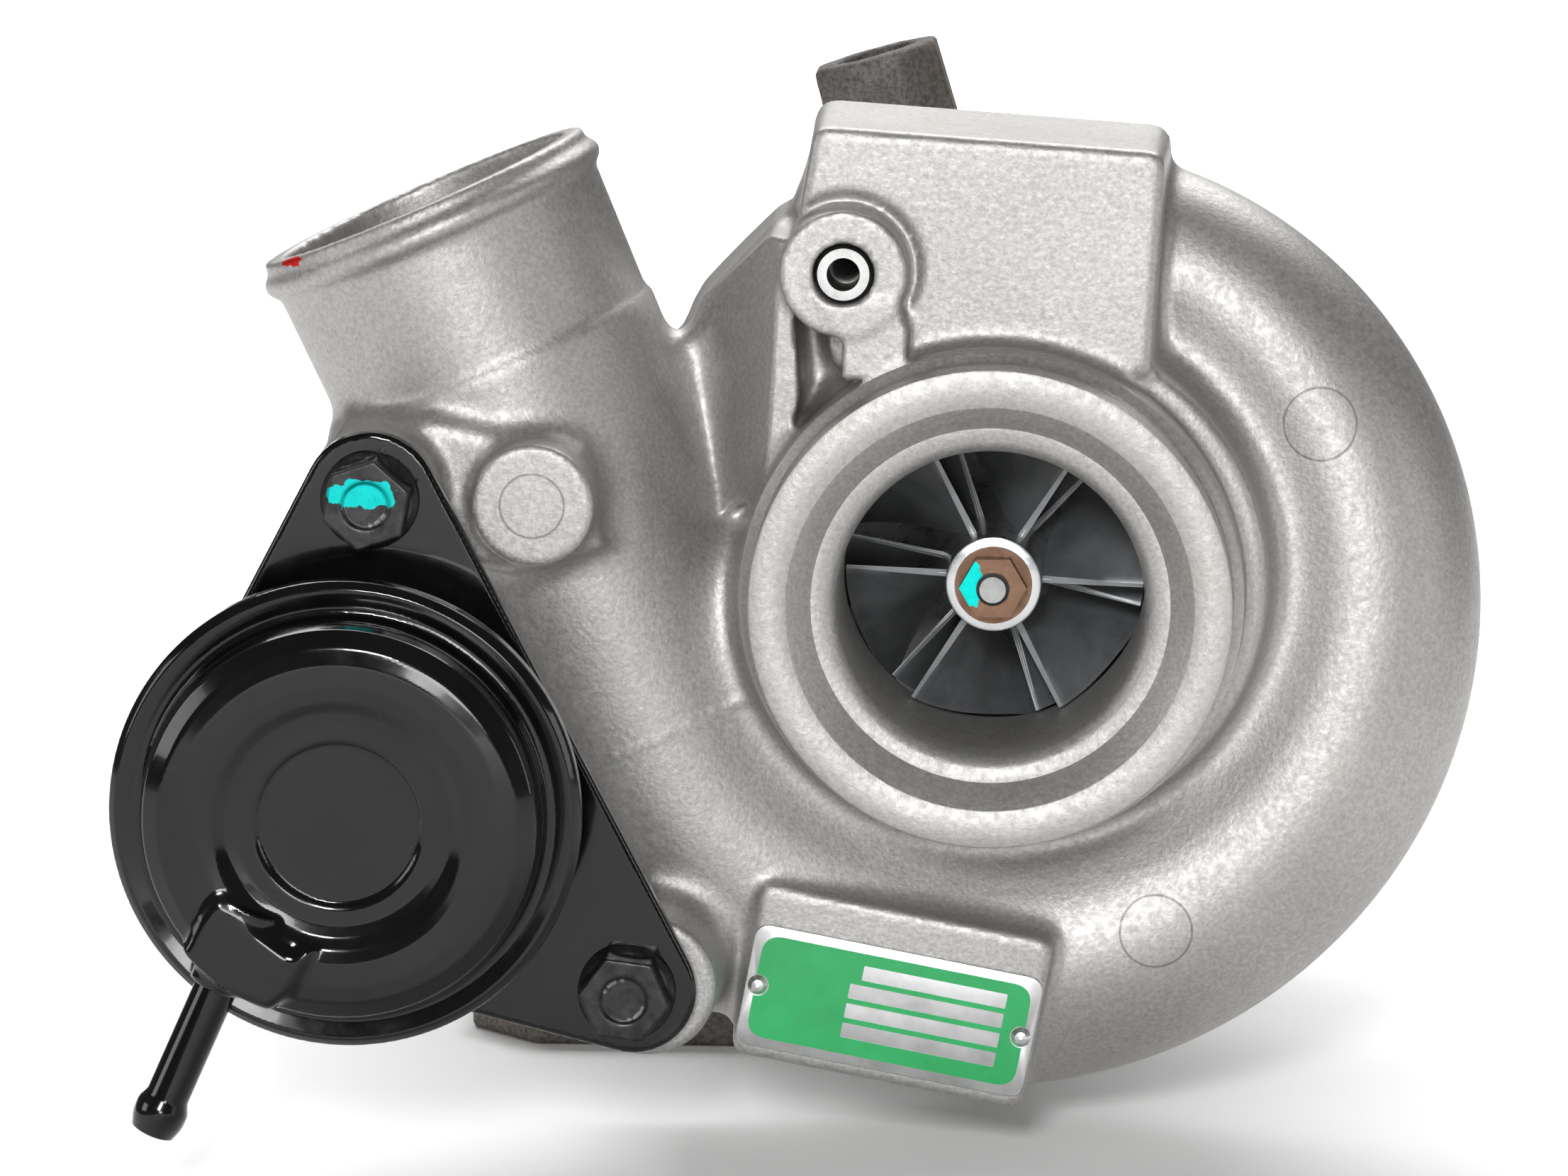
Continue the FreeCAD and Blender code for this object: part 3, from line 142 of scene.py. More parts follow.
def pull(points, field, voxel):
    """Points moved along the field's slope towards its surface, by no more than half a voxel."""
    reach = 0.05 * voxel
    x, y, z = points.T
    value = field(x, y, z)
    slope = np.stack([
        field(x + reach, y, z) - field(x - reach, y, z),
        field(x, y + reach, z) - field(x, y - reach, z),
        field(x, y, z + reach) - field(x, y, z - reach)], 1) / (2 * reach)
    size = np.maximum((slope ** 2).sum(1), 0.25)
    move = slope * (value / size)[:, None]
    length = np.linalg.norm(move, axis=1, keepdims=True)
    return points - move * np.minimum(1, 0.5 * voxel / np.maximum(length, 1e-9))


def new_object(name, mesh):
    """An object in the scene that shows a mesh."""
    piece = bpy.data.objects.new(name, mesh)
    bpy.context.scene.collection.objects.link(piece)
    return piece


# ---- solids of revolution and flat plates ------------------------------------

def lathe(name, profile, origin=(0, 0, 0), axis=(0, 1, 0), turns=128):
    """A turned piece: (radius, advance) corners, in millimetres, turned about an axis through the origin."""
    turn = Vector((0, 0, 1)).rotation_difference(Vector(axis))
    points, faces = [], []
    count = len(profile)
    for step in range(turns):
        angle = 2 * math.pi * step / turns
        for radius, advance in profile:
            point = turn @ Vector((radius * math.cos(angle), radius * math.sin(angle), advance))
            points.append((point + Vector(origin)) * MM)
    for step in range(turns):
        here, there = step * count, (step + 1) % turns * count
        for index in range(count):
            nextone = (index + 1) % count
            faces.append((here + index, there + index, there + nextone, here + nextone))
    mesh = bpy.data.meshes.new(name)
    mesh.from_pydata(points, [], faces)
    clean(mesh)
    smooth_by_angle(mesh, 38)
    return new_object(name, mesh)


def clean(mesh):
    """Merged points and outward faces."""
    work = bmesh.new()
    work.from_mesh(mesh)
    bmesh.ops.remove_doubles(work, verts=work.verts, dist=1e-7)
    bmesh.ops.dissolve_degenerate(work, edges=work.edges, dist=1e-8)
    bmesh.ops.recalc_face_normals(work, faces=work.faces)
    work.to_mesh(mesh)
    work.free()


def smooth_by_angle(mesh, degrees):
    """Smooth shading, with edges sharper than an angle kept crisp."""
    mesh.polygons.foreach_set("use_smooth", np.ones(len(mesh.polygons), bool))
    work = bmesh.new()
    work.from_mesh(mesh)
    for edge in work.edges:
        if len(edge.link_faces) == 2:
            edge.smooth = edge.calc_face_angle() < math.radians(degrees)
    work.to_mesh(mesh)
    work.free()


def rounded(corners, radius, steps=5):
    """An outline's corners, each turned into an arc."""
    result = []
    count = len(corners)
    for index in range(count):
        here = Vector(corners[index])
        before = Vector(corners[index - 1]) - here
        after = Vector(corners[(index + 1) % count]) - here
        half = before.angle(after) / 2
        reach = min(radius / math.tan(half), 0.48 * before.length, 0.48 * after.length)
        start = here + before.normalized() * reach
        end = here + after.normalized() * reach
        for step in range(steps + 1):
            share = step / steps
            result.append(tuple((1 - share) ** 2 * start + 2 * share * (1 - share) * here + share ** 2 * end))
    return result


def hull(circles, steps=40):
    """The corners of a belt around circles of (x, z, radius)."""
    points = sorted((x + r * math.cos(2 * math.pi * k / steps), z + r * math.sin(2 * math.pi * k / steps))
                    for x, z, r in circles for k in range(steps))
    chain = []
    for path in (points, points[::-1]):
        part = []
        for point in path:
            while len(part) > 1 and ((part[-1][0] - part[-2][0]) * (point[1] - part[-2][1])
                                     - (part[-1][1] - part[-2][1]) * (point[0] - part[-2][0])) <= 0:
                part.pop()
            part.append(point)
        chain += part[:-1]
    return chain


def plate(name, outline, holes, low, high, bevel=0.0):
    """A flat piece across Y, from an outline and its holes, with bevelled edges."""
    loops = [outline] + holes
    points = [Vector(corner) for loop in loops for corner in loop]
    edges, first = [], 0
    for loop in loops:
        edges += [(first + k, first + (k + 1) % len(loop)) for k in range(len(loop))]
        first += len(loop)
    made, _, triangles, *_ = delaunay_2d_cdt(points, edges, [], 0, 1e-5)
    work = bmesh.new()
    verts = [work.verts.new((p[0] * MM, low * MM, p[1] * MM)) for p in made]
    for corners in triangles:
        middle = sum((made[k] for k in corners), Vector((0, 0))) / 3
        if within(middle, outline) and not any(within(middle, hole) for hole in holes):
            work.faces.new([verts[k] for k in corners])
    bmesh.ops.dissolve_limit(work, angle_limit=0.01, verts=work.verts, edges=work.edges, delimit=set())
    swept = bmesh.ops.extrude_face_region(work, geom=work.faces[:])
    raised = [v for v in swept["geom"] if isinstance(v, bmesh.types.BMVert)]
    bmesh.ops.translate(work, verts=raised, vec=(0, (high - low) * MM, 0))
    bmesh.ops.recalc_face_normals(work, faces=work.faces)
    if bevel:
        rims = [e for e in work.edges if len(e.link_faces) == 2 and e.calc_face_angle() > 1.2]
        bmesh.ops.bevel(work, geom=rims, offset=bevel * MM, segments=3, profile=0.5, affect="EDGES")
    mesh = bpy.data.meshes.new(name)
    work.to_mesh(mesh)
    work.free()
    smooth_by_angle(mesh, 40)
    return new_object(name, mesh)


def within(point, loop):
    """Whether a point is inside a closed outline."""
    inside = False
    for (au, av), (bu, bv) in zip(loop, loop[1:] + loop[:1]):
        if (av > point[1]) != (bv > point[1]) and point[0] < (bu - au) * (point[1] - av) / (bv - av) + au:
            inside = not inside
    return inside


def circle(cx, cz, radius, steps=24):
    """A circle's corners."""
    turns = [2 * math.pi * k / steps for k in range(steps)]
    return [(cx + radius * math.cos(turn), cz + radius * math.sin(turn)) for turn in turns]


# ---- compressor housing ------------------------------------------------------

SCROLL_START = 139.0
SCROLL_SWEEP = 295.6
SCROLL_WALL = 3.4
SCROLL_REAR = 48.8
OUTLET_OFFSET = 57.5
OUTLET_BORE = 23.0
OUTLET_LENGTH = 88.0
OUTLET_STEP = 61.5
LABEL_CENTRE = (-15.2, -63.8)
LABEL_FRONT = 5.0
LABEL_PAD = [(-22.6, -11.4), (22.6, -11.4), (22.6, 15.4), (-22.6, 15.4)]
LABEL_TILT = math.radians(10.8)
PORT = (-22.3, 49.1)
UPPER_BOLT = (-91.9, 16.8)
LOWER_BOLT = (-54.0, -57.6)
SPARE_BOSS = (-68.1, 15.5)
BOSS_FACE = -8.0
BARREL = [(0, 3.4), (37.6, 3.4), (38.0, 33), (43, 39), (52, 40.5), (58.0, 46), (58.0, 61), (0, 61)]
BORES = [(-1, -20), (60, -20), (60, -9), (36.4, -9), (36.4, 4.2), (35.0, 4.2), (35.0, 12.0), (25.4, 30.0),
         (26.2, 36.0), (28.0, 41.0), (30.0, 44.5), (48.6, 44.5), (48.6, 48.5), (50.6, 48.5), (50.6, 53.0),
         (54.0, 53.0), (54.0, 57.2), (56.0, 57.2), (56.0, 59.4), (54.0, 59.4), (54.0, 64.0), (-1, 64.0)]
VALVE_PAD = [(-26.9, 70.6), (25.5, 66.9), (23.6, 33.8), (0, 28), (-24, 34), (-29.2, 57.5)]

end_turn = math.radians(SCROLL_START - SCROLL_SWEEP)
outward = (math.cos(end_turn), math.sin(end_turn))
flow = (math.sin(end_turn), -math.cos(end_turn))


def scroll_size(share):
    """Flow radius and centre distance of the scroll, at a share of its sweep."""
    radius = np.sqrt(4.6 ** 2 + (20.5 ** 2 - 4.6 ** 2) * share)
    outer = 59.8 + (83.0 - 59.8) * np.sin(share * math.pi / 2) ** 1.15
    centre = outer - radius - SCROLL_WALL
    late = np.maximum(0, share - 0.75) * 4
    return radius, centre + (OUTLET_OFFSET - centre) * late


def pipe_frame(x, z):
    """Distance along the outlet pipe, and sideways from the rotor axis."""
    return x * flow[0] + z * flow[1], x * outward[0] + z * outward[1]


def scroll_field(x, y, z, wall, sleeve=0.0):
    """The scroll with its outlet pipe, as a distance to the flow area plus a wall."""
    angle = np.degrees(np.arctan2(z, x))
    turned = np.mod(SCROLL_START - angle, 360)
    share = np.clip(turned / SCROLL_SWEEP, 0, 1)
    radius, centre = scroll_size(share)
    reach = np.hypot(x, z)
    section = np.hypot(reach - centre, y - SCROLL_REAR + radius) - radius - wall
    before = np.radians(360 - turned) * reach
    start = np.hypot(reach - scroll_size(0.0)[1], y - SCROLL_REAR + 4.6) - 4.6 - wall
    start = np.hypot(np.maximum(start, 0), before) + np.minimum(start, 0)
    section = np.where(turned > SCROLL_SWEEP, np.where(turned > 330, start, FAR), section)
    along, lateral = pipe_frame(x, z)
    widen = 20.5 + (OUTLET_BORE - 20.5) * np.clip(along / OUTLET_LENGTH, 0, 1)
    swell = sleeve * np.clip(along / 40, 0, 1) * np.clip((OUTLET_STEP + 0.8 - along) / 1.6, 0, 1)
    pipe = np.hypot(lateral - OUTLET_OFFSET, y - SCROLL_REAR + widen) - widen - wall - swell
    pipe = np.where(along > 0, pipe, np.hypot(np.maximum(pipe, 0), -along) + np.minimum(pipe, 0))
    return smooth_union(section, pipe, 1.0)


def outlet_end(x, y, z, solid):
    """The hose bead and the pipe's cut-off end."""
    along, lateral = pipe_frame(x, z)
    across = np.hypot(lateral - OUTLET_OFFSET, y - SCROLL_REAR + OUTLET_BORE)
    bead = np.hypot(np.maximum(across - 26.1, 0), along - 84.2) - 1.6
    solid = smooth_union(solid, np.where(across < 25.0, FAR, bead), 1.4)
    return smooth_cut(solid, OUTLET_LENGTH - along, 0.8)


def plate_frame(x, z):
    """Coordinates along and across the tilted data plate."""
    dx, dz = x - LABEL_CENTRE[0], z - LABEL_CENTRE[1]
    u = dx * math.cos(LABEL_TILT) - dz * math.sin(LABEL_TILT)
    v = dx * math.sin(LABEL_TILT) + dz * math.cos(LABEL_TILT)
    return u, v


def compressor_body(x, y, z):
    """Scroll, pipe, barrel and valve pad."""
    solid = outlet_end(x, y, z, scroll_field(x, y, z, SCROLL_WALL, 0.7))
    shelf = disc(x, y, z, 3.0, 1.5, 38.6, 11.0, 40.0, 1.5, 0.05)
    barrel = smooth_union(turned_field(x, y, z, BARREL, 0.4), shelf, 1.5)
    solid = smooth_union(solid, barrel, 9.0)
    pad = polygon_distance(x, z, rounded(VALVE_PAD, 2.5, 3)) - np.maximum(y - 9.0, 0) * 0.035
    solid = smooth_union(solid, slab(pad, y, 9.0, 40.0, 1.3), 2.6)
    return smooth_cut(solid, disc(x, y, z, *PORT, 11.2, 0.0, 9.8, 0.8), 1.2)


WEB = [(-27, 60), (-12, 34), (-30, -2), (-52, 8), (-50, 34), (-38, 48)]
RIB = [(-31, 54), (-33.5, 54), (-45, 42), (-46, 31), (-42, 11), (-33, 16), (-29, 30)]
PORT_NECK = [(-27, 46), (-14.4, 45), (-12.6, 40.3), (-13, 34), (-22.5, 33.0), (-22.3, 38.5)]
BOSS_NECK = [(-97, 25.5), (-84, 27.5), (-62, 22), (-58, 8), (-72, 4), (-90, 7.5)]


def compressor_details(x, y, z):
    """Ribs, bosses and the data plate's pad."""
    solid = compressor_body(x, y, z)
    solid = smooth_union(solid, slab(polygon_distance(x, z, WEB), y, 24.0, 46.0, 3.0), 5.0)
    slope = (0.088 * z - 1.525 * x - 45.4 - y) / 1.83
    rib = np.maximum(slab(polygon_distance(x, z, rounded(RIB, 2.0, 3)), y, 8.0, 46.0), slope)
    solid = smooth_union(solid, rib, 3.2)
    port = disc(x, y, z, *PORT, 9.5, 3.0, 36.0, 0.45, 0.02)
    neck = slab(polygon_distance(x, z, PORT_NECK), y, 3.05, 30.0, 0.4)
    solid = smooth_union(solid, smooth_union(port, neck, 1.0), 1.2)
    upper = disc(x, y, z, *UPPER_BOLT, 9.8, BOSS_FACE, 34.0, 0.7, 0.03)
    spare = disc(x, y, z, *SPARE_BOSS, 9.2, BOSS_FACE, 24.0, 0.7, 0.03)
    link = slab(polygon_distance(x, z, BOSS_NECK), y, -1.5, 26.0, 2.0)
    bosses = smooth_union(smooth_union(upper, link, 2.5), spare, 2.5)
    solid = smooth_union(solid, bosses, 4.0)
    lower = disc(x, y, z, LOWER_BOLT[0] + 2.6, LOWER_BOLT[1], 10.6, BOSS_FACE, 40.0, 0.8, 0.05)
    solid = smooth_union(solid, lower, 5.0)
    u, v = plate_frame(x, z)
    pad = polygon_distance(u, v, rounded(LABEL_PAD, 2.5, 3))
    pad = slab(pad - np.maximum(y - LABEL_FRONT, 0) * 0.05, y, LABEL_FRONT, 34.0, 1.0)
    return smooth_union(solid, pad, 2.4)


def compressor_casting(x, y, z):
    """The whole casting, with its flow passage and machined bores cut out."""
    solid = np.maximum(compressor_details(x, y, z), y - 61.4)
    solid = np.maximum(solid, -scroll_field(x, y, z, 0.0))
    solid = np.maximum(solid, -polygon_distance(np.hypot(x, z), y, BORES))
    solid = np.maximum(solid, -disc(x, y, z, *PORT, 4.6, -5.0, 12.6))
    solid = np.maximum(solid, -disc(x, y, z, *PORT, 2.1, 12.0, 40.0))
    for hole in (UPPER_BOLT, LOWER_BOLT):
        solid = np.maximum(solid, -disc(x, y, z, *hole, 4.05, -12.0, 12.0))
    return solid


INLET = [(36.2, -5.5), (36.2, 0.9), (36.5, 1.6), (37.4, 2.1), (37.9, 2.7), (37.9, 4.8), (35.4, 5.2),
         (34.4, 11.5), (24.6, 30.0), (25.3, 36.4), (27.1, 41.4), (29.3, 44.9), (48.3, 44.9), (48.3, 45.3),
         (28.6, 45.3), (27.1, 43.2), (26.0, 41.0), (25.0, 38.4), (24.3, 36.0), (23.7, 33.0), (23.4, 30.0),
         (23.15, 27.0), (23.1, 24.4), (23.1, 0.3), (23.4, -0.6), (24.1, -1.5), (24.9, -2.1), (26.9, -2.2),
         (27.0, -2.35), (30.4, -5.85), (30.6, -6.0), (35.7, -6.0), (36.05, -5.85)]


# ---- bearing housing ---------------------------------------------------------

BEARING_CORE = [(0, 48.7), (50.3, 48.7), (50.3, 53.1), (53.6, 53.1), (53.6, 56.9), (38.0, 56.9), (31.0, 61.0),
                (29, 66.0), (29, 86.0), (31.0, 89.0), (36, 90.0), (39.8, 92.5), (39.8, 94.9), (33.8, 94.9),
                (33.8, 96.9), (0, 96.9)]
BEARING_BORES = [(0, 40), (28.8, 40), (28.8, 49.9), (22, 52), (22, 59.7), (15.9, 59.7), (15.9, 64), (6.5, 66),
                 (6.5, 95), (10.5, 95), (10.5, 104), (0, 104)]
TOWER_TURN = math.radians(105.5)
TOWER_TOP = 78.0
SIDE_TURN = math.radians(-12.0)
OIL_Y = 78.0
OIL_X = 4.0
BANJO_BORE = 6.2
DRAIN_STUDS = (-19.0, 19.0)
DRAIN_BOSS = [(-25, -52), (25, -52), (25, -44), (14, -40), (14, -15), (-14, -15), (-14, -40), (-25, -44)]


def outward_frame(x, z, turn):
    """Distance out from the rotor axis at a turn, and sideways from that line."""
    return x * math.cos(turn) + z * math.sin(turn), -x * math.sin(turn) + z * math.cos(turn)


def spoke(x, y, z, turn, radius, low, high, rounding=0.8):
    """A round boss that points away from the rotor axis."""
    along, side = outward_frame(x, z, turn)
    return slab(np.hypot(side, y - OIL_Y) - radius, along, low, high, rounding)


def tower_field(x, y, z):
    """The coolant outlet's tower: an octagon with a slight draft."""
    along, side = outward_frame(x, z, TOWER_TURN)
    draft = (TOWER_TOP - along) * 0.02
    turn = np.arctan2(y - OIL_Y, side)
    wedge = np.mod(turn + math.pi / 8, math.pi / 4) - math.pi / 8
    flat = np.hypot(side, y - OIL_Y) * np.cos(wedge) - 9.9 - draft
    return slab(flat, along, 20.0, TOWER_TOP, 1.0)


def bearing_casting(x, y, z):
    """The bearing housing: core, tower, side boss, oil boss and drain flange, less their bores."""
    solid = turned_field(x, y, z, BEARING_CORE)
    solid = smooth_union(solid, tower_field(x, y, z), 5.0)
    solid = smooth_union(solid, spoke(x, y, z, SIDE_TURN, 10.0, 20.0, 45.0), 5.0)
    oil = slab(np.hypot(x - OIL_X, y - OIL_Y) - 11.0, z, 20.0, 44.0, 0.8)
    solid = smooth_union(solid, oil, 4.0)
    drain = slab(polygon_distance(x, z, rounded(DRAIN_BOSS, 3.0, 3)), y, 65.0, 88.5, 1.5)
    solid = smooth_union(solid, drain, 4.0)
    solid = np.maximum(solid, -turned_field(x, y, z, BEARING_BORES))
    solid = np.maximum(solid, -spoke(x, y, z, TOWER_TURN, BANJO_BORE, TOWER_TOP - 17, TOWER_TOP + 9, 0.0))
    solid = np.maximum(solid, -spoke(x, y, z, SIDE_TURN, BANJO_BORE, 26.0, 60.0, 0.0))
    solid = np.maximum(solid, -slab(np.hypot(x - OIL_X, y - OIL_Y) - 4.2, z, 32.0, 60.0))
    solid = np.maximum(solid, -slab(np.hypot(x, y - OIL_Y) - 8.5, z, -60.0, -22.0))
    for side in DRAIN_STUDS:
        solid = np.maximum(solid, -slab(np.hypot(x - side, y - OIL_Y) - 3.4, z, -60.0, -41.0))
    return solid


# ---- turbine housing ---------------------------------------------------------

VOLUTE_SWEEP = 300.0
VOLUTE_WALL = 4.5
DUCT_X = -43.8
DUCT_Y = 118.0
MANIFOLD_FACE = -88.5
MANIFOLD_TOP = -78.5
MANIFOLD_HALF = (44.0, 38.0)
MANIFOLD_CUT = 11.2
MANIFOLD_STUDS = ((-33, -27), (33, -27), (33, 27), (-33, 27))
SPINDLE = (145.0, -47.137)
VALVE_PORT = (-40.0, -24.137)
OUTLET_FACE = 170.0
OUTLET_HOLES = ((30, 26), (30, -26), (-20, 38), (-20, -62), (-66, -4), (-66, -46))
TURBINE_CORE = [(0, 95), (39.8, 95), (39.8, 97.5), (36.5, 100.0), (36.5, 104.0), (40.0, 108.0), (40.0, 122.0),
                (32.0, 128.0), (32.0, 140.0), (0, 140.0)]
TURBINE_BORES = [(0, 90), (34.0, 90), (34.0, 98.0), (31.2, 98.0), (28.0, 103.5), (28.0, 104.6), (35.0, 104.6),
                 (35.0, 113.5), (26.7, 113.5), (24.8, 117.0), (23.3, 121.0), (23.1, 124.0), (23.1, 135.0),
                 (24.5, 137.0), (0, 137.0)]


def volute_field(x, y, z, wall):
    """The volute, which shrinks clockwise from its duct, and the duct down to the manifold."""
    angle = np.degrees(np.arctan2(z, x))
    turned = np.mod(180.0 - angle, 360)
    share = np.clip(turned / VOLUTE_SWEEP, 0, 1)
    radius = np.sqrt(12.8 ** 2 + (5.0 ** 2 - 12.8 ** 2) * share)
    section = np.hypot(np.hypot(x, z) - 31.0 - radius, y - 105.2 - radius) - radius - wall
    section = np.where(turned > VOLUTE_SWEEP, FAR, section)
    widen = 12.8 + np.interp(-z, (0, 22, 55, 88.5), (0, 0.6, 2.4, 3.8))
    duct = np.maximum(np.hypot(x - DUCT_X, y - DUCT_Y) - widen - wall, np.maximum(z, MANIFOLD_FACE - 1 - z))
    return smooth_union(section, duct, 2.0 if wall else 0.5)


def manifold_outline():
    """The manifold flange's outline: a rectangle with cut corners."""
    (wide, deep), cut = MANIFOLD_HALF, MANIFOLD_CUT
    corners = [(cut - wide, -deep), (wide - cut, -deep), (wide, cut - deep), (wide, deep - cut),
               (wide - cut, deep), (cut - wide, deep), (-wide, deep - cut), (-wide, cut - deep)]
    return rounded([(DUCT_X + u, DUCT_Y + v) for u, v in corners], 2.0, 3)


def outlet_room(x, z, around_wheel, around_valve, around_spindle):
    """The outline of the outlet chamber, at three radii."""
    return polygon_distance(x, z, hull([
        (0, 0, around_wheel), (*VALVE_PORT, around_valve), (VALVE_PORT[0], SPINDLE[1], around_spindle)]))


def turbine_casting(x, y, z):
    """The turbine housing: volute, outlet chamber, both flanges and the spindle's boss, less the bores."""
    core = turned_field(x, y, z, TURBINE_CORE)
    chamber = outlet_room(x, z, 34.0, 21.5, 14.0)
    solid = smooth_union(core, volute_field(x, y, z, VOLUTE_WALL), 6.0)
    solid = smooth_union(solid, slab(chamber, y, 128.0, 168.0, 2.0), 7.0)
    spindle = slab(np.hypot(y - SPINDLE[0], z - SPINDLE[1]) - 8.5, x, -82.0, -40.0, 0.8)
    solid = smooth_union(solid, spindle, 5.0)
    outline = polygon_distance(x, z, hull([(hx, hz, 11.0) for hx, hz in OUTLET_HOLES]))
    solid = smooth_union(solid, slab(outline, y, 161.0, OUTLET_FACE, 0.6), 2.5)
    flange = polygon_distance(x, y, manifold_outline())
    solid = smooth_union(solid, slab(flange, z, MANIFOLD_FACE, MANIFOLD_TOP, 0.8), 5.0)
    solid = np.maximum(solid, -turned_field(x, y, z, TURBINE_BORES))
    solid = np.maximum(solid, -volute_field(x, y, z, 0.0))
    room = outlet_room(x, z, 29.0, 17.5, 9.5)
    solid = smooth_cut(solid, slab(room, y, 136.0, 190.0, 1.5), 0.8)
    solid = np.maximum(solid, -disc(x, y, z, *VALVE_PORT, 10.0, 120.0, 138.0))
    solid = np.maximum(solid, -slab(np.hypot(y - SPINDLE[0], z - SPINDLE[1]) - 6.0, x, -83.0, -43.0))
    for side_x, side_y in MANIFOLD_STUDS:
        stud = np.hypot(x - DUCT_X - side_x, y - DUCT_Y - side_y) - 5.25
        solid = np.maximum(solid, -slab(stud, z, MANIFOLD_FACE - 5, -70.0))
    for hx, hz in OUTLET_HOLES:
        solid = np.maximum(solid, -disc(x, y, z, hx, hz, 4.2, 158.0, 175.0))
    return np.maximum(np.maximum(solid, MANIFOLD_FACE - z), y - OUTLET_FACE)


# ---- actuator ----------------------------------------------------------------

CAN = (-94.3, -27.6)
CAP_LINE = [(33.6, -23.6), (34.35, -24.4), (34.35, -26.9), (33.6, -27.6), (31.0, -27.0), (29.7, -27.3),
            (29.2, -28.4), (29.1, -31.6), (28.4, -34.0), (26.3, -35.3), (24.0, -35.6), (20.6, -35.6),
            (18.8, -35.3), (17.0, -34.4), (15.2, -34.1), (12.9, -34.05), (12.5, -33.9), (12.2, -33.45),
            (0, -33.45)]
CAP_HALF = 0.6
CAP_FRONT = -37.18
NIPPLE_START = (-111.2, -30.4, -48.5)
NIPPLE_WAY = Vector((-0.407, 0, -0.913)).normalized()
NIPPLE_BOSS = [(-112.0, -37.5), (-114.7, -41.4), (-118.0, -47.3), (-112.0, -52.6), (-104.5, -55.4),
               (-101.4, -52.6), (-97.4, -45.2), (-101.3, -46.6), (-106.5, -42.6)]
NIPPLE_TUBE = [(1.9, -6), (3.2, -6), (3.2, 23.0), (3.35, 23.6), (3.8, 24.6), (3.95, 25.2), (3.95, 26.4),
               (3.85, 27.3), (3.3, 29.0), (2.9, 29.2), (2.1, 29.2), (1.9, 28.9)]
BOLT_COLLAR = [(0, -12.9), (6.4, -12.9), (7.3, -11.7), (7.3, -11.0), (0, -11.0)]


def polyline_distance(u, v, points):
    """Distance to an open line of points."""
    best = None
    for (au, av), (bu, bv) in zip(points, points[1:]):
        eu, ev = bu - au, bv - av
        share = np.clip(((u - au) * eu + (v - av) * ev) / (eu * eu + ev * ev), 0, 1)
        distance = (u - au - share * eu) ** 2 + (v - av - share * ev) ** 2
        best = distance if best is None else np.minimum(best, distance)
    return np.sqrt(best)


def cap_field(x, y, z):
    """The pressed cap: a sheet that follows a turned line, with the nipple's saddle pressed out of it."""
    reach = np.hypot(x - CAN[0], z - CAN[1])
    sheet = polyline_distance(reach, y, CAP_LINE) - CAP_HALF
    saddle = slab(polygon_distance(x, z, rounded(NIPPLE_BOSS, 2.0, 3)), y, -37.1, -30.0, 1.6)
    saddle = np.maximum(saddle, np.abs(reach - 24.2) - 5.3)
    start = Vector(NIPPLE_START) - Vector((0, 1.0, 0))
    barrel = rod_distance(x, y, z, start - 9 * NIPPLE_WAY, start + 4.5 * NIPPLE_WAY, 5.6, 4.2)
    inside = polygon_distance(reach, y, CAP_LINE + [(0, -15), (33.6, -15)])
    raised = np.maximum(smooth_union(saddle, barrel, 1.2), -inside)
    solid = smooth_union(sheet, raised, 1.4)
    middle = Vector(NIPPLE_START)
    bore = rod_distance(x, y, z, middle - 12 * NIPPLE_WAY, middle + 8 * NIPPLE_WAY, 3.2)
    return np.maximum(np.maximum(solid, -bore), CAP_FRONT - y)


def bracket_field(x, y, z):
    """The bracket: a plate that hugs both bolts and the can, with its three holes."""
    outline = polygon_distance(x, z, hull([(*UPPER_BOLT, 10.0), (LOWER_BOLT[0] + 0.8, LOWER_BOLT[1], 9.6),
                                           (*CAN, 28.6)]))
    solid = slab(outline, y, BOSS_FACE - 3.0, BOSS_FACE, 0.7)
    for cx, cz, radius in ((*UPPER_BOLT, 4.3), (*LOWER_BOLT, 4.3), (*CAN, 6.4)):
        solid = np.maximum(solid, -disc(x, y, z, cx, cz, radius, -15, 0))
    return solid


def bolt_field(cx, cz, turn):
    """The field of a bolt along Y: a flanged hexagon head with a chamfered top, and its shank."""
    def field(x, y, z):
        dx, dz = x - cx, z - cz
        angle = np.arctan2(dz, dx) + turn
        wedge = np.mod(angle + math.pi / 6, math.pi / 3) - math.pi / 6
        reach = np.hypot(dx, dz)
        head = slab(reach * np.cos(wedge) - 6.0, y, -17.4, -11.0, 0.25)
        head = np.maximum(head, (reach - 6.6 - (y + 17.4) * 1.6) * 0.6)
        dish = disc(x, y, z, cx, cz, 3.4, -20.0, -16.9, 0.2)
        head = smooth_cut(head, dish, 0.5)
        collar = polygon_distance(reach, y, BOLT_COLLAR) - 0.05
        shank = disc(x, y, z, cx, cz, 4.0, -12.0, 10.0)
        return np.minimum(smooth_union(head, collar, 0.5), shank)
    return field


# ---- compressor wheel --------------------------------------------------------

WHEEL_HUB = [(7.4, 24.4), (8.4, 32.0), (10.8, 38.5), (15.5, 43.6), (21.5, 46.8), (28.0, 48.3)]
WHEEL_SHROUD = [(22.8, 24.4), (22.95, 30.0), (23.7, 35.5), (24.9, 39.8), (26.3, 43.0), (28.0, 45.6)]
WHEEL_WRAP = [0, 20, 33, 43, 50, 56]
WHEEL_BODY = [(2.55, 17.0), (6.9, 17.0), (7.2, 17.15), (7.35, 17.5)]
WHEEL_BACK = [(28.0, 49.2), (9.0, 49.6), (8.0, 50.0), (2.55, 50.0)]
MAIN_BLADES = 6
FIRST_BLADE = 56.8
BLADE_PITCH = 360 / MAIN_BLADES
SPLITTER_START = 0.2
HUB_STEPS = 30
NOSE_SETBACK = 0.2


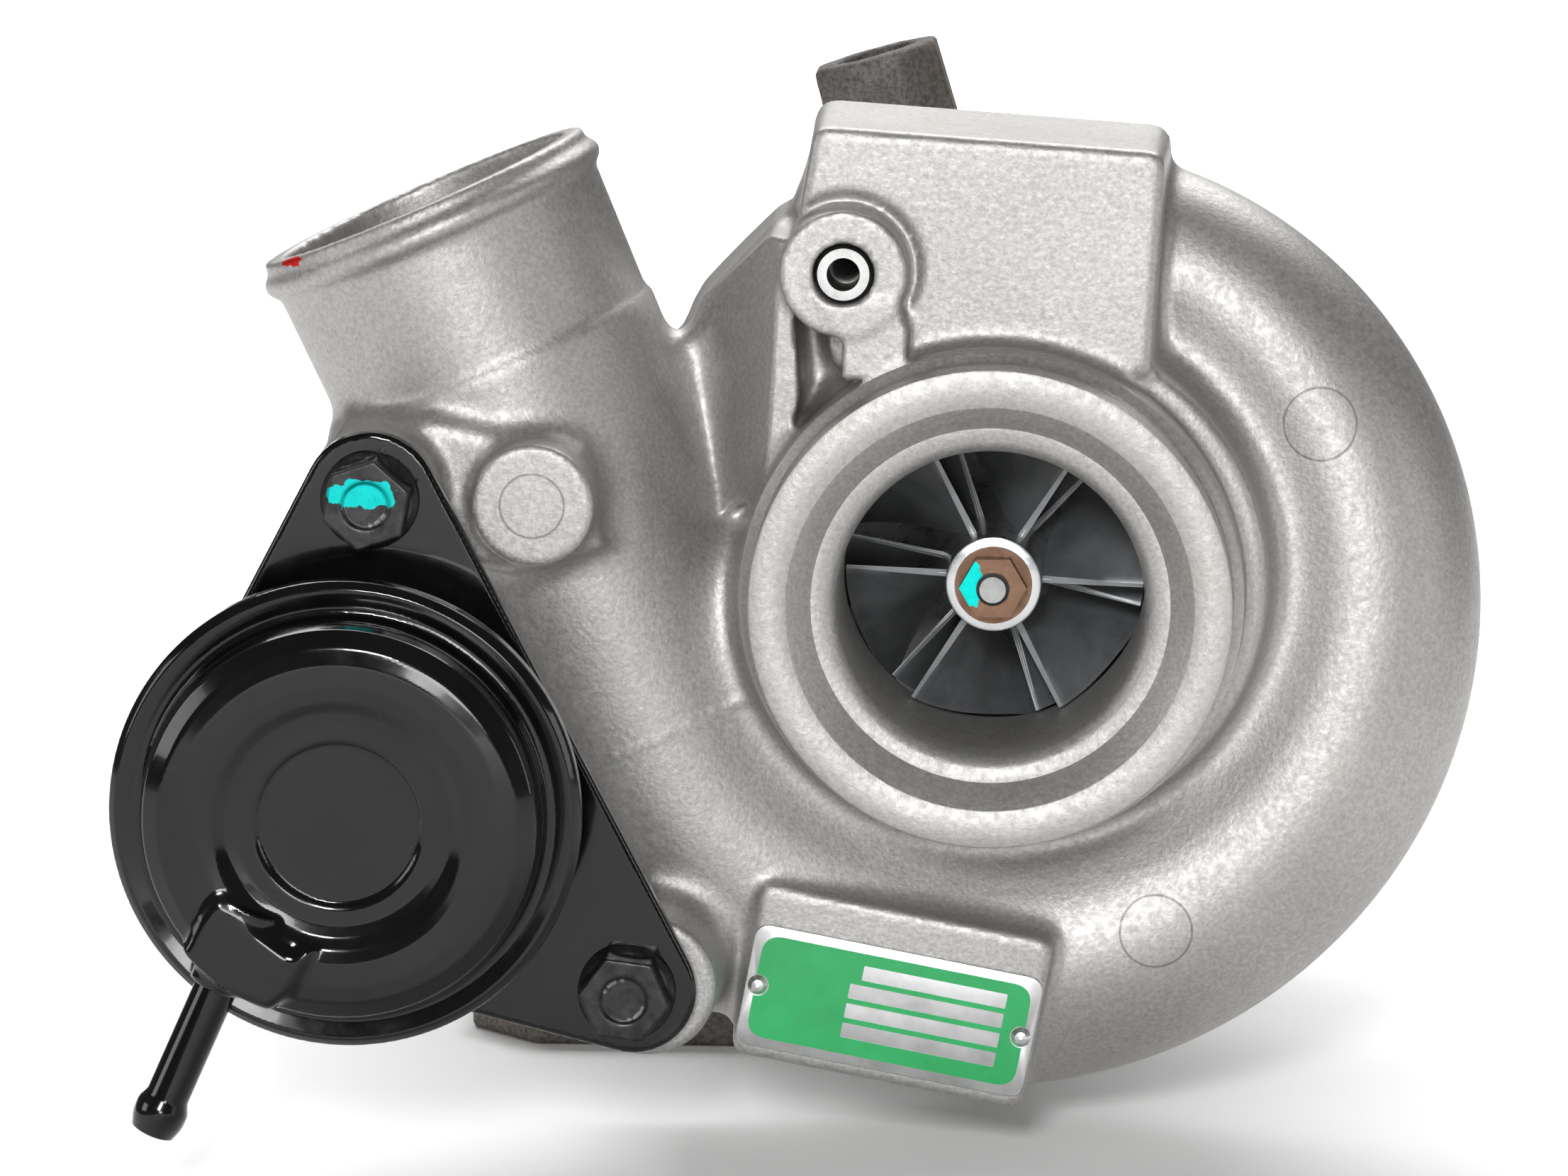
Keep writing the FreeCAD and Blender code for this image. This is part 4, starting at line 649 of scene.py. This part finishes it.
def spline(values, share):
    """A smooth curve through evenly spaced values, at a share of its length."""
    place = share * (len(values) - 1)
    index = min(int(place), len(values) - 2)
    step = place - index
    before = values[index - 1] if index else 2 * values[0] - values[1]
    here, there = values[index], values[index + 1]
    after = values[index + 2] if index + 2 < len(values) else 2 * values[-1] - values[-2]
    return here + 0.5 * step * (there - before + step * (2 * before - 5 * here + 4 * there - after
                                                         + step * (3 * (here - there) + after - before)))


def blade_points(share, height, phase, offset):
    """A point on a blade, at a share of its length and of its height, offset sideways in millimetres."""
    hub = [spline([p[k] for p in WHEEL_HUB], share) for k in (0, 1)]
    tip = [spline([p[k] for p in WHEEL_SHROUD], share) for k in (0, 1)]
    radius = hub[0] + (tip[0] - hub[0]) * height
    y = hub[1] + (tip[1] - hub[1]) * height
    angle = math.radians(phase + spline(WHEEL_WRAP, share)) + offset / max(radius, 1.0)
    return (radius * math.cos(angle) * MM, y * MM, radius * math.sin(angle) * MM)


def blade_grid(points, faces, start, phase, thickness, along=36, across=12):
    """One blade as a closed skin: two sides, a rounded nose and a thin tip."""
    base = len(points)
    ring = [(-1, k / across) for k in range(across + 1)] + [(1, 1 - k / across) for k in range(across + 1)]
    rows = along + 3
    for row in range(rows):
        if row < 2:
            share, width = start - 0.004 * (1 - row), 0.25 + 0.45 * row
        else:
            share, width = start + (1 - start) * (row - 2) / along, 1.0
        for side, height in ring:
            lift = -0.06 + 1.06 * height
            half = thickness * width * (0.55 - 0.25 * height)
            points.append(blade_points(max(share, 0.0), lift, phase, side * half))
    skin(faces, base, rows, len(ring))


def blade_nose(points, faces, start, phase, radius, along=14, around=8):
    """The front edge of a blade, made to carry a painted highlight: a thin rounded bar from hub to tip."""
    base = len(points)
    for row in range(along + 1):
        height = row / along
        x, y, z = blade_points(start, height, phase, 0.0)
        reach = math.hypot(x, z)
        side = (-z / reach, x / reach)
        size = radius * (1 - 0.35 * height) * MM
        for step in range(around):
            turn = 2 * math.pi * step / around
            across, depth = size * math.cos(turn), 0.8 * size * math.sin(turn)
            points.append((x + side[0] * across, y + NOSE_SETBACK * MM - depth, z + side[1] * across))
    skin(faces, base, along + 1, around)


def skin(faces, base, rows, count):
    """Faces between rows of points, with both ends closed."""
    for row in range(rows - 1):
        for index in range(count):
            a, b = base + row * count + index, base + row * count + (index + 1) % count
            faces.append((a, b, b + count, a + count))
    faces.append(tuple(base + index for index in reversed(range(count))))
    faces.append(tuple(base + (rows - 1) * count + index for index in range(count)))


def blade_set(name, maker, main_size, splitter_size, sharp):
    """All blades, or all their edges, as one piece."""
    points, faces = [], []
    for index in range(MAIN_BLADES):
        phase = FIRST_BLADE + BLADE_PITCH * index
        maker(points, faces, 0.0, phase, main_size)
        maker(points, faces, SPLITTER_START, phase - BLADE_PITCH / 2, splitter_size)
    mesh = bpy.data.meshes.new(name)
    mesh.from_pydata(points, [], faces)
    clean(mesh)
    smooth_by_angle(mesh, sharp)
    return new_object(name, mesh)


def compressor_wheel():
    """The wheel in three pieces: hub, blades and their edges; the blades later get painted shade and the
    edges a painted highlight.
    """
    radii, heights = zip(*WHEEL_HUB)
    shares = [k / HUB_STEPS for k in range(HUB_STEPS + 1)]
    flank = [(spline(radii, share), spline(heights, share)) for share in shares]
    hub = lathe("compressor_hub", WHEEL_BODY + flank + WHEEL_BACK)
    return (hub, blade_set("compressor_blades", blade_grid, 1.0, 0.9, 45),
            blade_set("compressor_blade_edges", blade_nose, 0.26, 0.17, 60))


# ---- data plate --------------------------------------------------------------

PLATE_SIZE = (22.3, 9.5)
PLATE_BORDER = 1.5
FIELD_ROWS = ((5.0, -5.0), (1.9, -6.6), (-1.2, -6.6), (-4.3, -6.6))
FIELD_RIGHT = 17.2
FIELD_HALF = 1.15
RIVET_PLACES = ((-20.4, 0.0), (20.4, 0.0))


def on_plate(outline):
    """Plate coordinates turned into the object's X and Z."""
    turned = []
    for u, v in outline:
        turned.append((LABEL_CENTRE[0] + u * math.cos(LABEL_TILT) + v * math.sin(LABEL_TILT),
                       LABEL_CENTRE[1] - u * math.sin(LABEL_TILT) + v * math.cos(LABEL_TILT)))
    return turned


def rectangle(left, low, right, high, radius):
    """A rectangle with rounded corners."""
    return rounded([(left, low), (right, low), (right, high), (left, high)], radius, 6)


def data_plate():
    """The bare plate, and the enamel on it with four blank fields."""
    width, height = PLATE_SIZE
    holes = [on_plate(circle(*place, 1.05)) for place in RIVET_PLACES]
    base = plate("data_plate_base", on_plate(rectangle(-width, -height, width, height, 2.6)), holes,
                 LABEL_FRONT - 0.72, LABEL_FRONT, 0.12)
    width, height = width - PLATE_BORDER, height - PLATE_BORDER
    outline = on_plate(rectangle(-width, -height, width, height, 3.0))
    windows = [on_plate(rectangle(left, middle - FIELD_HALF, FIELD_RIGHT, middle + FIELD_HALF, 0.2))
               for middle, left in FIELD_ROWS]
    rims = [on_plate(circle(*place, 1.7)) for place in RIVET_PLACES]
    enamel = plate("data_plate_enamel", outline, windows + rims, LABEL_FRONT - 0.8, LABEL_FRONT - 0.7)
    return base, enamel


# ---- materials ---------------------------------------------------------------

class Surface:
    """Builds one procedural material, node by node, in object coordinates."""

    def __init__(self, name, metallic, specular=0.5, coat=0.0, coat_roughness=0.1):
        self.material = bpy.data.materials.new(name)
        self.material.use_nodes = True
        self.tree = self.material.node_tree
        self.shader = self.tree.nodes["Principled BSDF"]
        self.shader.inputs["Metallic"].default_value = metallic
        self.shader.inputs["Specular IOR Level"].default_value = specular
        self.shader.inputs["Coat Weight"].default_value = coat
        self.shader.inputs["Coat Roughness"].default_value = coat_roughness
        self.place = self.node("ShaderNodeTexCoord").outputs["Object"]
        self.bump = None

    def node(self, kind, **settings):
        """A new node with its settings."""
        made = self.tree.nodes.new(kind)
        for key, value in settings.items():
            setattr(made, key, value)
        return made

    def link(self, source, target):
        self.tree.links.new(source, target)

    def noise(self, size, detail=3.0, roughness=0.6, stretch=None):
        """Noise whose features are about a size in millimetres."""
        made = self.node("ShaderNodeTexNoise")
        made.inputs["Scale"].default_value = 1 / (size * MM)
        made.inputs["Detail"].default_value = detail
        made.inputs["Roughness"].default_value = roughness
        source = self.place
        if stretch:
            mapping = self.node("ShaderNodeMapping")
            mapping.inputs["Scale"].default_value = stretch
            self.link(source, mapping.inputs["Vector"])
            source = mapping.outputs["Vector"]
        self.link(source, made.inputs["Vector"])
        return made.outputs["Fac"]

    def ramp(self, value, low, high, start=0.0, end=1.0):
        """A value moved from one range to another, clamped."""
        made = self.node("ShaderNodeMapRange")
        self.link(value, made.inputs["Value"])
        for key, number in (("From Min", low), ("From Max", high), ("To Min", start), ("To Max", end)):
            made.inputs[key].default_value = number
        return made.outputs["Result"]

    def mix(self, share, first, second):
        """Two colours, or links, mixed by a value."""
        made = self.node("ShaderNodeMix", data_type="RGBA")
        self.link(share, made.inputs["Factor"])
        for index, colour in ((6, first), (7, second)):
            if isinstance(colour, tuple):
                made.inputs[index].default_value = (*colour, 1)
            else:
                self.link(colour, made.inputs[index])
        return made.outputs[2]

    def colour(self, value):
        self.link(value, self.shader.inputs["Base Color"])

    def roughness(self, value):
        self.link(value, self.shader.inputs["Roughness"])

    def relief(self, value, depth, strength=1.0):
        """Bump of a depth in millimetres, added to what there is."""
        made = self.node("ShaderNodeBump")
        made.inputs["Distance"].default_value = depth * MM
        made.inputs["Strength"].default_value = strength
        self.link(value, made.inputs["Height"])
        if self.bump:
            self.link(self.bump, made.inputs["Normal"])
        self.bump = made.outputs["Normal"]
        self.link(self.bump, self.shader.inputs["Normal"])

    def edges(self, low=0.52, high=0.62):
        """How much an edge stands out, for wear."""
        return self.ramp(self.node("ShaderNodeNewGeometry").outputs["Pointiness"], low, high)

    def maths(self, operation, *values):
        """A maths node on links and numbers."""
        made = self.node("ShaderNodeMath", operation=operation)
        for socket, value in zip(made.inputs, values):
            if isinstance(value, (int, float)):
                socket.default_value = value
            else:
                self.link(value, socket)
        return made.outputs[0]

    def vector(self, operation, first, second=(0, 0, 0)):
        """A vector maths node on a link and a constant vector."""
        made = self.node("ShaderNodeVectorMath", operation=operation)
        self.link(first, made.inputs[0])
        made.inputs[1].default_value = second
        return made.outputs["Value" if operation == "LENGTH" else "Vector"]

    def ring(self, x, z, radius, depth):
        """A mask of a thin circle seen along Y, down to a depth."""
        flat = self.vector("MULTIPLY", self.vector("SUBTRACT", self.place, (x * MM, 0, z * MM)), (1, 0, 1))
        gap = self.maths("ABSOLUTE", self.maths("SUBTRACT", self.vector("LENGTH", flat), radius * MM))
        line = self.ramp(gap, 0.1 * MM, 0.24 * MM, 0.75, 0.0)
        split = self.node("ShaderNodeSeparateXYZ")
        self.link(self.place, split.inputs[0])
        return self.maths("MULTIPLY", line, self.maths("LESS_THAN", split.outputs["Y"], depth * MM))

    def patch(self, centre, size, ragged=0.35):
        """A mask around a point, in millimetres, with a ragged edge."""
        shift = self.vector("SUBTRACT", self.place, [c * MM for c in centre])
        reach = self.vector("LENGTH", self.vector("DIVIDE", shift, [c * MM for c in size]))
        edge = self.maths("MULTIPLY_ADD", self.noise(2.2, 2.0), 2 * ragged, reach)
        return self.ramp(edge, 0.98 + ragged, 1.04 + ragged, 1.0, 0.0)


RED_MARK = (-108.5, 7.0, 50.0)
EJECTOR_MARKS = ((49.3, 24.7, 5.5, 40), (25.2, -52.5, 5.5, 40), (*SPARE_BOSS, 4.8, 0))


def blasted_aluminium():
    """Silver castings blasted with beads: fine bright grain, a few stains and tool rings."""
    s = Surface("blasted_aluminium", 0.85, 0.5)
    tone = s.ramp(s.noise(38, 2), 0.35, 0.65)
    base = s.mix(tone, (0.40, 0.39, 0.38), (0.45, 0.44, 0.425))
    speck = s.ramp(s.noise(0.7, 2, 0.7), 0.34, 0.66)
    base = s.mix(speck, s.mix(tone, (0.31, 0.303, 0.295), (0.35, 0.342, 0.33)), base)
    stain = s.ramp(s.noise(21, 4, 0.7), 0.62, 0.80, 0.0, 0.45)
    base = s.mix(stain, base, (0.30, 0.25, 0.215))
    for mark in EJECTOR_MARKS:
        base = s.mix(s.ring(*mark), base, (0.15, 0.145, 0.14))
    base = s.mix(s.edges(0.52, 0.64), base, (0.50, 0.49, 0.47))
    s.colour(s.mix(s.patch(RED_MARK, (4.5, 5.0, 1.6), 0.4), base, (0.55, 0.01, 0.01)))
    s.roughness(s.ramp(s.noise(1.3, 3), 0.3, 0.7, 0.46, 0.60))
    s.relief(s.noise(0.8, 2, 0.6), 0.09, 0.7)
    s.relief(s.noise(9.0, 2, 0.5), 0.05, 0.4)
    return s.material


def rough_iron(name, dark, light, rust, metallic=0.45):
    """Cast iron: dark grain, rust in places and a coarse skin."""
    s = Surface(name, metallic, 0.4)
    base = s.mix(s.ramp(s.noise(9, 5, 0.7), 0.3, 0.7), dark, light)
    base = s.mix(s.ramp(s.noise(26, 4, 0.65), 0.50, 0.72, 0.0, 0.75), base, rust)
    base = s.mix(s.ramp(s.noise(0.8, 2), 0.42, 0.62, 0.0, 0.55), base, tuple(0.4 * c for c in dark))
    s.colour(s.mix(s.edges(0.54, 0.66), base, tuple(min(1, 2.2 * c) for c in light)))
    s.roughness(s.ramp(s.noise(5, 4), 0.3, 0.7, 0.5, 0.8))
    s.relief(s.noise(1.6, 5, 0.7), 0.5, 0.8)
    s.relief(s.noise(7, 3, 0.6), 0.5, 0.5)
    return s.material


def gloss_black():
    """Black paint over pressed steel: deep gloss, a little dust and worn edges."""
    s = Surface("gloss_black_paint", 0.0, 0.28, 0.3, 0.04)
    base = s.mix(s.ramp(s.noise(14, 3), 0.35, 0.65), (0.0018, 0.0018, 0.002), (0.0036, 0.0036, 0.004))
    dust = s.ramp(s.noise(0.9, 4, 0.75), 0.68, 0.80, 0.0, 0.35)
    base = s.mix(dust, base, (0.03, 0.03, 0.029))
    s.colour(s.mix(s.edges(0.56, 0.70), base, (0.011, 0.011, 0.0115)))
    s.roughness(s.ramp(s.noise(9, 4, 0.7), 0.35, 0.70, 0.08, 0.19))
    s.relief(s.noise(3.2, 2, 0.5), 0.03, 0.35)
    return s.material


def machined(name, dark, light, size=0.5, rough=(0.22, 0.38), depth=0.02, metallic=1.0):
    """A turned or milled metal with fine tool marks."""
    s = Surface(name, metallic, 0.5)
    base = s.mix(s.ramp(s.noise(6, 3), 0.3, 0.7), dark, light)
    s.colour(s.mix(s.edges(0.54, 0.66), base, tuple(min(1, 1.3 * c) for c in light)))
    s.roughness(s.ramp(s.noise(2.5, 4), 0.3, 0.7, *rough))
    s.relief(s.noise(size, 2, 0.5, (0.4, 3.0, 0.4)), depth, 0.6)
    return s.material


def bolt_steel():
    """Blackened steel, with a dab of teal paint on the upper bolt."""
    s = Surface("black_oxide_steel", 0.75, 0.5)
    base = s.mix(s.ramp(s.noise(2.4, 4), 0.35, 0.7), (0.020, 0.020, 0.021), (0.048, 0.047, 0.046))
    base = s.mix(s.edges(0.54, 0.64), base, (0.16, 0.155, 0.15))
    paint = s.patch((UPPER_BOLT[0] - 0.3, -17.4, UPPER_BOLT[1] + 1.6), (5.2, 1.1, 2.3), 0.5)
    s.colour(s.mix(paint, base, (0.0, 0.42, 0.40)))
    s.roughness(s.ramp(s.noise(1.6, 3), 0.3, 0.7, 0.28, 0.5))
    s.relief(s.noise(0.9, 3), 0.05, 0.6)
    return s.material


def bronze_nut():
    """Brown oxidised bronze, with a teal balance mark."""
    s = Surface("bronze_nut", 0.85, 0.5)
    base = s.mix(s.ramp(s.noise(1.8, 4), 0.3, 0.7), (0.035, 0.019, 0.013), (0.085, 0.045, 0.028))
    base = s.mix(s.edges(0.54, 0.66), base, (0.22, 0.13, 0.085))
    paint = s.patch((-3.4, 13.4, 0.6), (1.9, 1.3, 3.6), 0.3)
    s.colour(s.mix(paint, base, (0.0, 0.47, 0.43)))
    s.roughness(s.ramp(s.noise(1.1, 3), 0.3, 0.7, 0.32, 0.55))
    s.relief(s.noise(0.5, 3), 0.03, 0.6)
    return s.material


def green_enamel():
    """Green enamel with small chips."""
    s = Surface("green_enamel", 0.0, 0.5, 0.35, 0.15)
    base = s.mix(s.ramp(s.noise(8, 2), 0.3, 0.7), (0.0, 0.30, 0.075), (0.004, 0.37, 0.10))
    chips = s.ramp(s.noise(1.1, 5, 0.8), 0.70, 0.73)
    s.colour(s.mix(chips, base, (0.5, 0.52, 0.5)))
    s.roughness(s.ramp(s.noise(2.2, 3), 0.3, 0.7, 0.25, 0.42))
    s.relief(s.noise(0.6, 3), 0.02, 0.5)
    return s.material


def rubber():
    """Dark matt rubber."""
    s = Surface("rubber", 0.0, 0.35)
    s.colour(s.mix(s.ramp(s.noise(2, 3), 0.3, 0.7), (0.012, 0.012, 0.012), (0.028, 0.027, 0.026)))
    s.roughness(s.ramp(s.noise(1, 3), 0.3, 0.7, 0.55, 0.8))
    s.relief(s.noise(0.4, 2), 0.02, 0.5)
    return s.material


MATERIALS = {
    "cast_aluminium": blasted_aluminium(),
    "machined_aluminium": machined("machined_aluminium", (0.55, 0.56, 0.57), (0.70, 0.71, 0.72)),
    "cast_iron": rough_iron("bearing_iron", (0.085, 0.08, 0.075), (0.19, 0.18, 0.17), (0.13, 0.10, 0.08)),
    "heat_iron": rough_iron("turbine_iron", (0.10, 0.09, 0.08), (0.21, 0.19, 0.17), (0.19, 0.11, 0.065)),
    "black_paint": gloss_black(),
    "black_steel": bolt_steel(),
    "bronze": bronze_nut(),
    "machined_steel": machined("machined_steel", (0.20, 0.20, 0.20), (0.32, 0.32, 0.315)),
    "spring_steel": machined("spring_steel", (0.18, 0.185, 0.20), (0.30, 0.31, 0.33)),
    "plated_steel": machined("plated_steel", (0.30, 0.295, 0.28), (0.42, 0.41, 0.39), 0.8, (0.34, 0.5)),
    "turbine_alloy": machined("turbine_alloy", (0.20, 0.18, 0.16), (0.34, 0.31, 0.28), 0.7, (0.35, 0.5),
                              0.05),
    "rubber": rubber(),
    "plate_enamel": green_enamel(),
    "rivet_aluminium": machined("rivet_aluminium", (0.55, 0.55, 0.55), (0.72, 0.72, 0.72)),
}
# Painted shade: the blade faces get a dark copy of the wheel's machined aluminium.
WHEEL_PAINTED_SHADE = machined("blade_faces_painted_shade", (0.11, 0.115, 0.12), (0.17, 0.175, 0.18), 0.9, (0.34, 0.46), 0.006, 0.45)
# Painted highlight: the blades' front edges get a near-white copy of the wheel's machined aluminium.
WHEEL_PAINTED_HIGHLIGHT = machined("blade_edges_painted_highlight", (0.85, 0.85, 0.86), (0.95, 0.95, 0.95), 0.5, (0.2, 0.3), 0.01)
PLATE_BARE = machined("plate_bare", (0.38, 0.385, 0.385), (0.50, 0.505, 0.50), 0.9, (0.3, 0.45), 0.03, 0.9)


# ---- pieces ------------------------------------------------------------------

def finish_piece(piece, body, slot, *nodes, material=None):
    """A piece given its material, from its slot unless one is passed, and its body, with the CAD nodes that
    it stands in for hidden.
    """
    piece.data.materials.clear()
    piece.data.materials.append(material or MATERIALS[slot])
    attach(piece, body)
    if nodes:
        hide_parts(*nodes)


FIELD_PIECES = (
    ("compressor_casting", compressor_casting, (-128, -10, -90), (88, 63, 100), 0.82,
     "cast_aluminium", "compressor_housing"),
    ("bearing_casting", bearing_casting, (-56, 47, -55), (56, 99, 82), 0.8, "cast_iron", "bearing_housing"),
    ("turbine_casting", turbine_casting, (-90, 78, -90), (60, 172, 62), 0.95, "heat_iron", "turbine_housing"),
    ("pressed_cap", cap_field, (-131, -40, -66), (-57, -21, 10), 0.36, "black_paint", "actuator_cap"),
    ("pressed_bracket", bracket_field, (-125, -12.5, -70), (-40, -6.5, 30), 0.5,
     "black_paint", "actuator_bracket"),
    ("upper_bracket_bolt", bolt_field(*UPPER_BOLT, 0.2), (-101, -19, 8), (-83, 12, 26), 0.3,
     "black_steel", "bracket_bolts"),
    ("lower_bracket_bolt", bolt_field(*LOWER_BOLT, 0.65), (-63, -19, -67), (-45, 12, -49), 0.3,
     "black_steel"),
)


def pieces():
    """Every modelled piece, on its body and in place of its CAD node."""
    for name, field, low, high, voxel, *rest in FIELD_PIECES:
        finish_piece(field_mesh(name, field, low, high, voxel), "housings", *rest)
    finish_piece(lathe("inlet_ring", INLET, turns=192), "housings", "cast_aluminium")
    nipple = lathe("nipple_tube", NIPPLE_TUBE, NIPPLE_START, NIPPLE_WAY, 64)
    finish_piece(nipple, "housings", "black_paint", "hose_nipple")
    hub, blades, edges = compressor_wheel()
    finish_piece(hub, "rotor", "machined_aluminium", "compressor_wheel")
    # The blade faces carry painted shade.
    finish_piece(blades, "rotor", "machined_aluminium", material=WHEEL_PAINTED_SHADE)
    # The blade edges carry a painted highlight.
    finish_piece(edges, "rotor", "machined_aluminium", material=WHEEL_PAINTED_HIGHLIGHT)
    base, enamel = data_plate()
    finish_piece(base, "housings", "rivet_aluminium", "data_plate", material=PLATE_BARE)
    finish_piece(enamel, "housings", "plate_enamel")


def carried_nodes():
    """Every CAD node gets its slot's material."""
    for part in frame["record"]["subparts"]:
        node = frame["nodes"][part["node"]]
        node.data.materials.clear()
        node.data.materials.append(MATERIALS[part["material_slot"]])


# ---- stage -------------------------------------------------------------------

CAMERA_PLACE = (0.024394, -0.990386, 0.177025)
CAMERA_BACK = Vector((0.05497, -0.98327, 0.17365))
LENS = 154.27
SENSOR = 36.0
FLOOR = -0.0886
FLOOR_HALF = 6.0
SKY_STRENGTH = 0.11
LAMPS = (
    ("backdrop", (0, 1.9, 1.5), (0, 1.6, -0.1), 2.4, 66, 110),
    ("key", (-0.1, -1.3, 0.50), (0, 0.03, 0), 0.22, 12),
    ("front", (0.06, -1.45, 0.16), (0, 0.03, 0), 0.30, 4.5),
    ("left", (-1.2, -0.4, 0.35), (0, 0.03, 0), 0.5, 3),
    ("right", (1.2, -0.5, 0.20), (0, 0.03, 0), 0.5, 2),
)


def camera():
    """The camera, from the front and a little above."""
    data = bpy.data.cameras.new("camera")
    data.lens = LENS
    data.sensor_width = SENSOR
    data.clip_start = 0.01
    seer = bpy.data.objects.new("camera", data)
    seer.location = CAMERA_PLACE
    seer.rotation_euler = CAMERA_BACK.to_track_quat("Z", "Y").to_euler()
    bpy.context.scene.collection.objects.link(seer)
    bpy.context.scene.camera = seer


def area_light(name, place, aim, size, watts, spread=180):
    """A square lamp turned towards a point."""
    data = bpy.data.lights.new(name, "AREA")
    data.energy = watts
    data.size = size
    data.spread = math.radians(spread)
    lamp = bpy.data.objects.new(name, data)
    lamp.location = place
    lamp.rotation_euler = (Vector(place) - Vector(aim)).to_track_quat("Z", "Y").to_euler()
    bpy.context.scene.collection.objects.link(lamp)


def stage():
    """The pale floor, the world's light and the lamps."""
    mesh = bpy.data.meshes.new("floor")
    corners = [(u * FLOOR_HALF, v * FLOOR_HALF, FLOOR) for u, v in ((-1, -1), (1, -1), (1, 1), (-1, 1))]
    mesh.from_pydata(corners, [], [(0, 1, 2, 3)])
    floor = new_object("floor", mesh)
    s = Surface("floor_paper", 0.0, 0.1)
    s.colour(s.mix(s.noise(400, 2), (0.93, 0.93, 0.93), (0.96, 0.96, 0.96)))
    s.roughness(s.ramp(s.noise(30, 2), 0.3, 0.7, 0.8, 0.9))
    floor.data.materials.append(s.material)
    world = bpy.data.worlds.new("studio")
    world.use_nodes = True
    sky = world.node_tree.nodes["Background"]
    sky.inputs["Color"].default_value = (1, 1, 1, 1)
    sky.inputs["Strength"].default_value = SKY_STRENGTH
    bpy.context.scene.world = world
    bpy.context.scene.view_settings.view_transform = "Standard"
    for lamp in LAMPS:
        area_light(*lamp)


carried_nodes()
pieces()
camera()
stage()
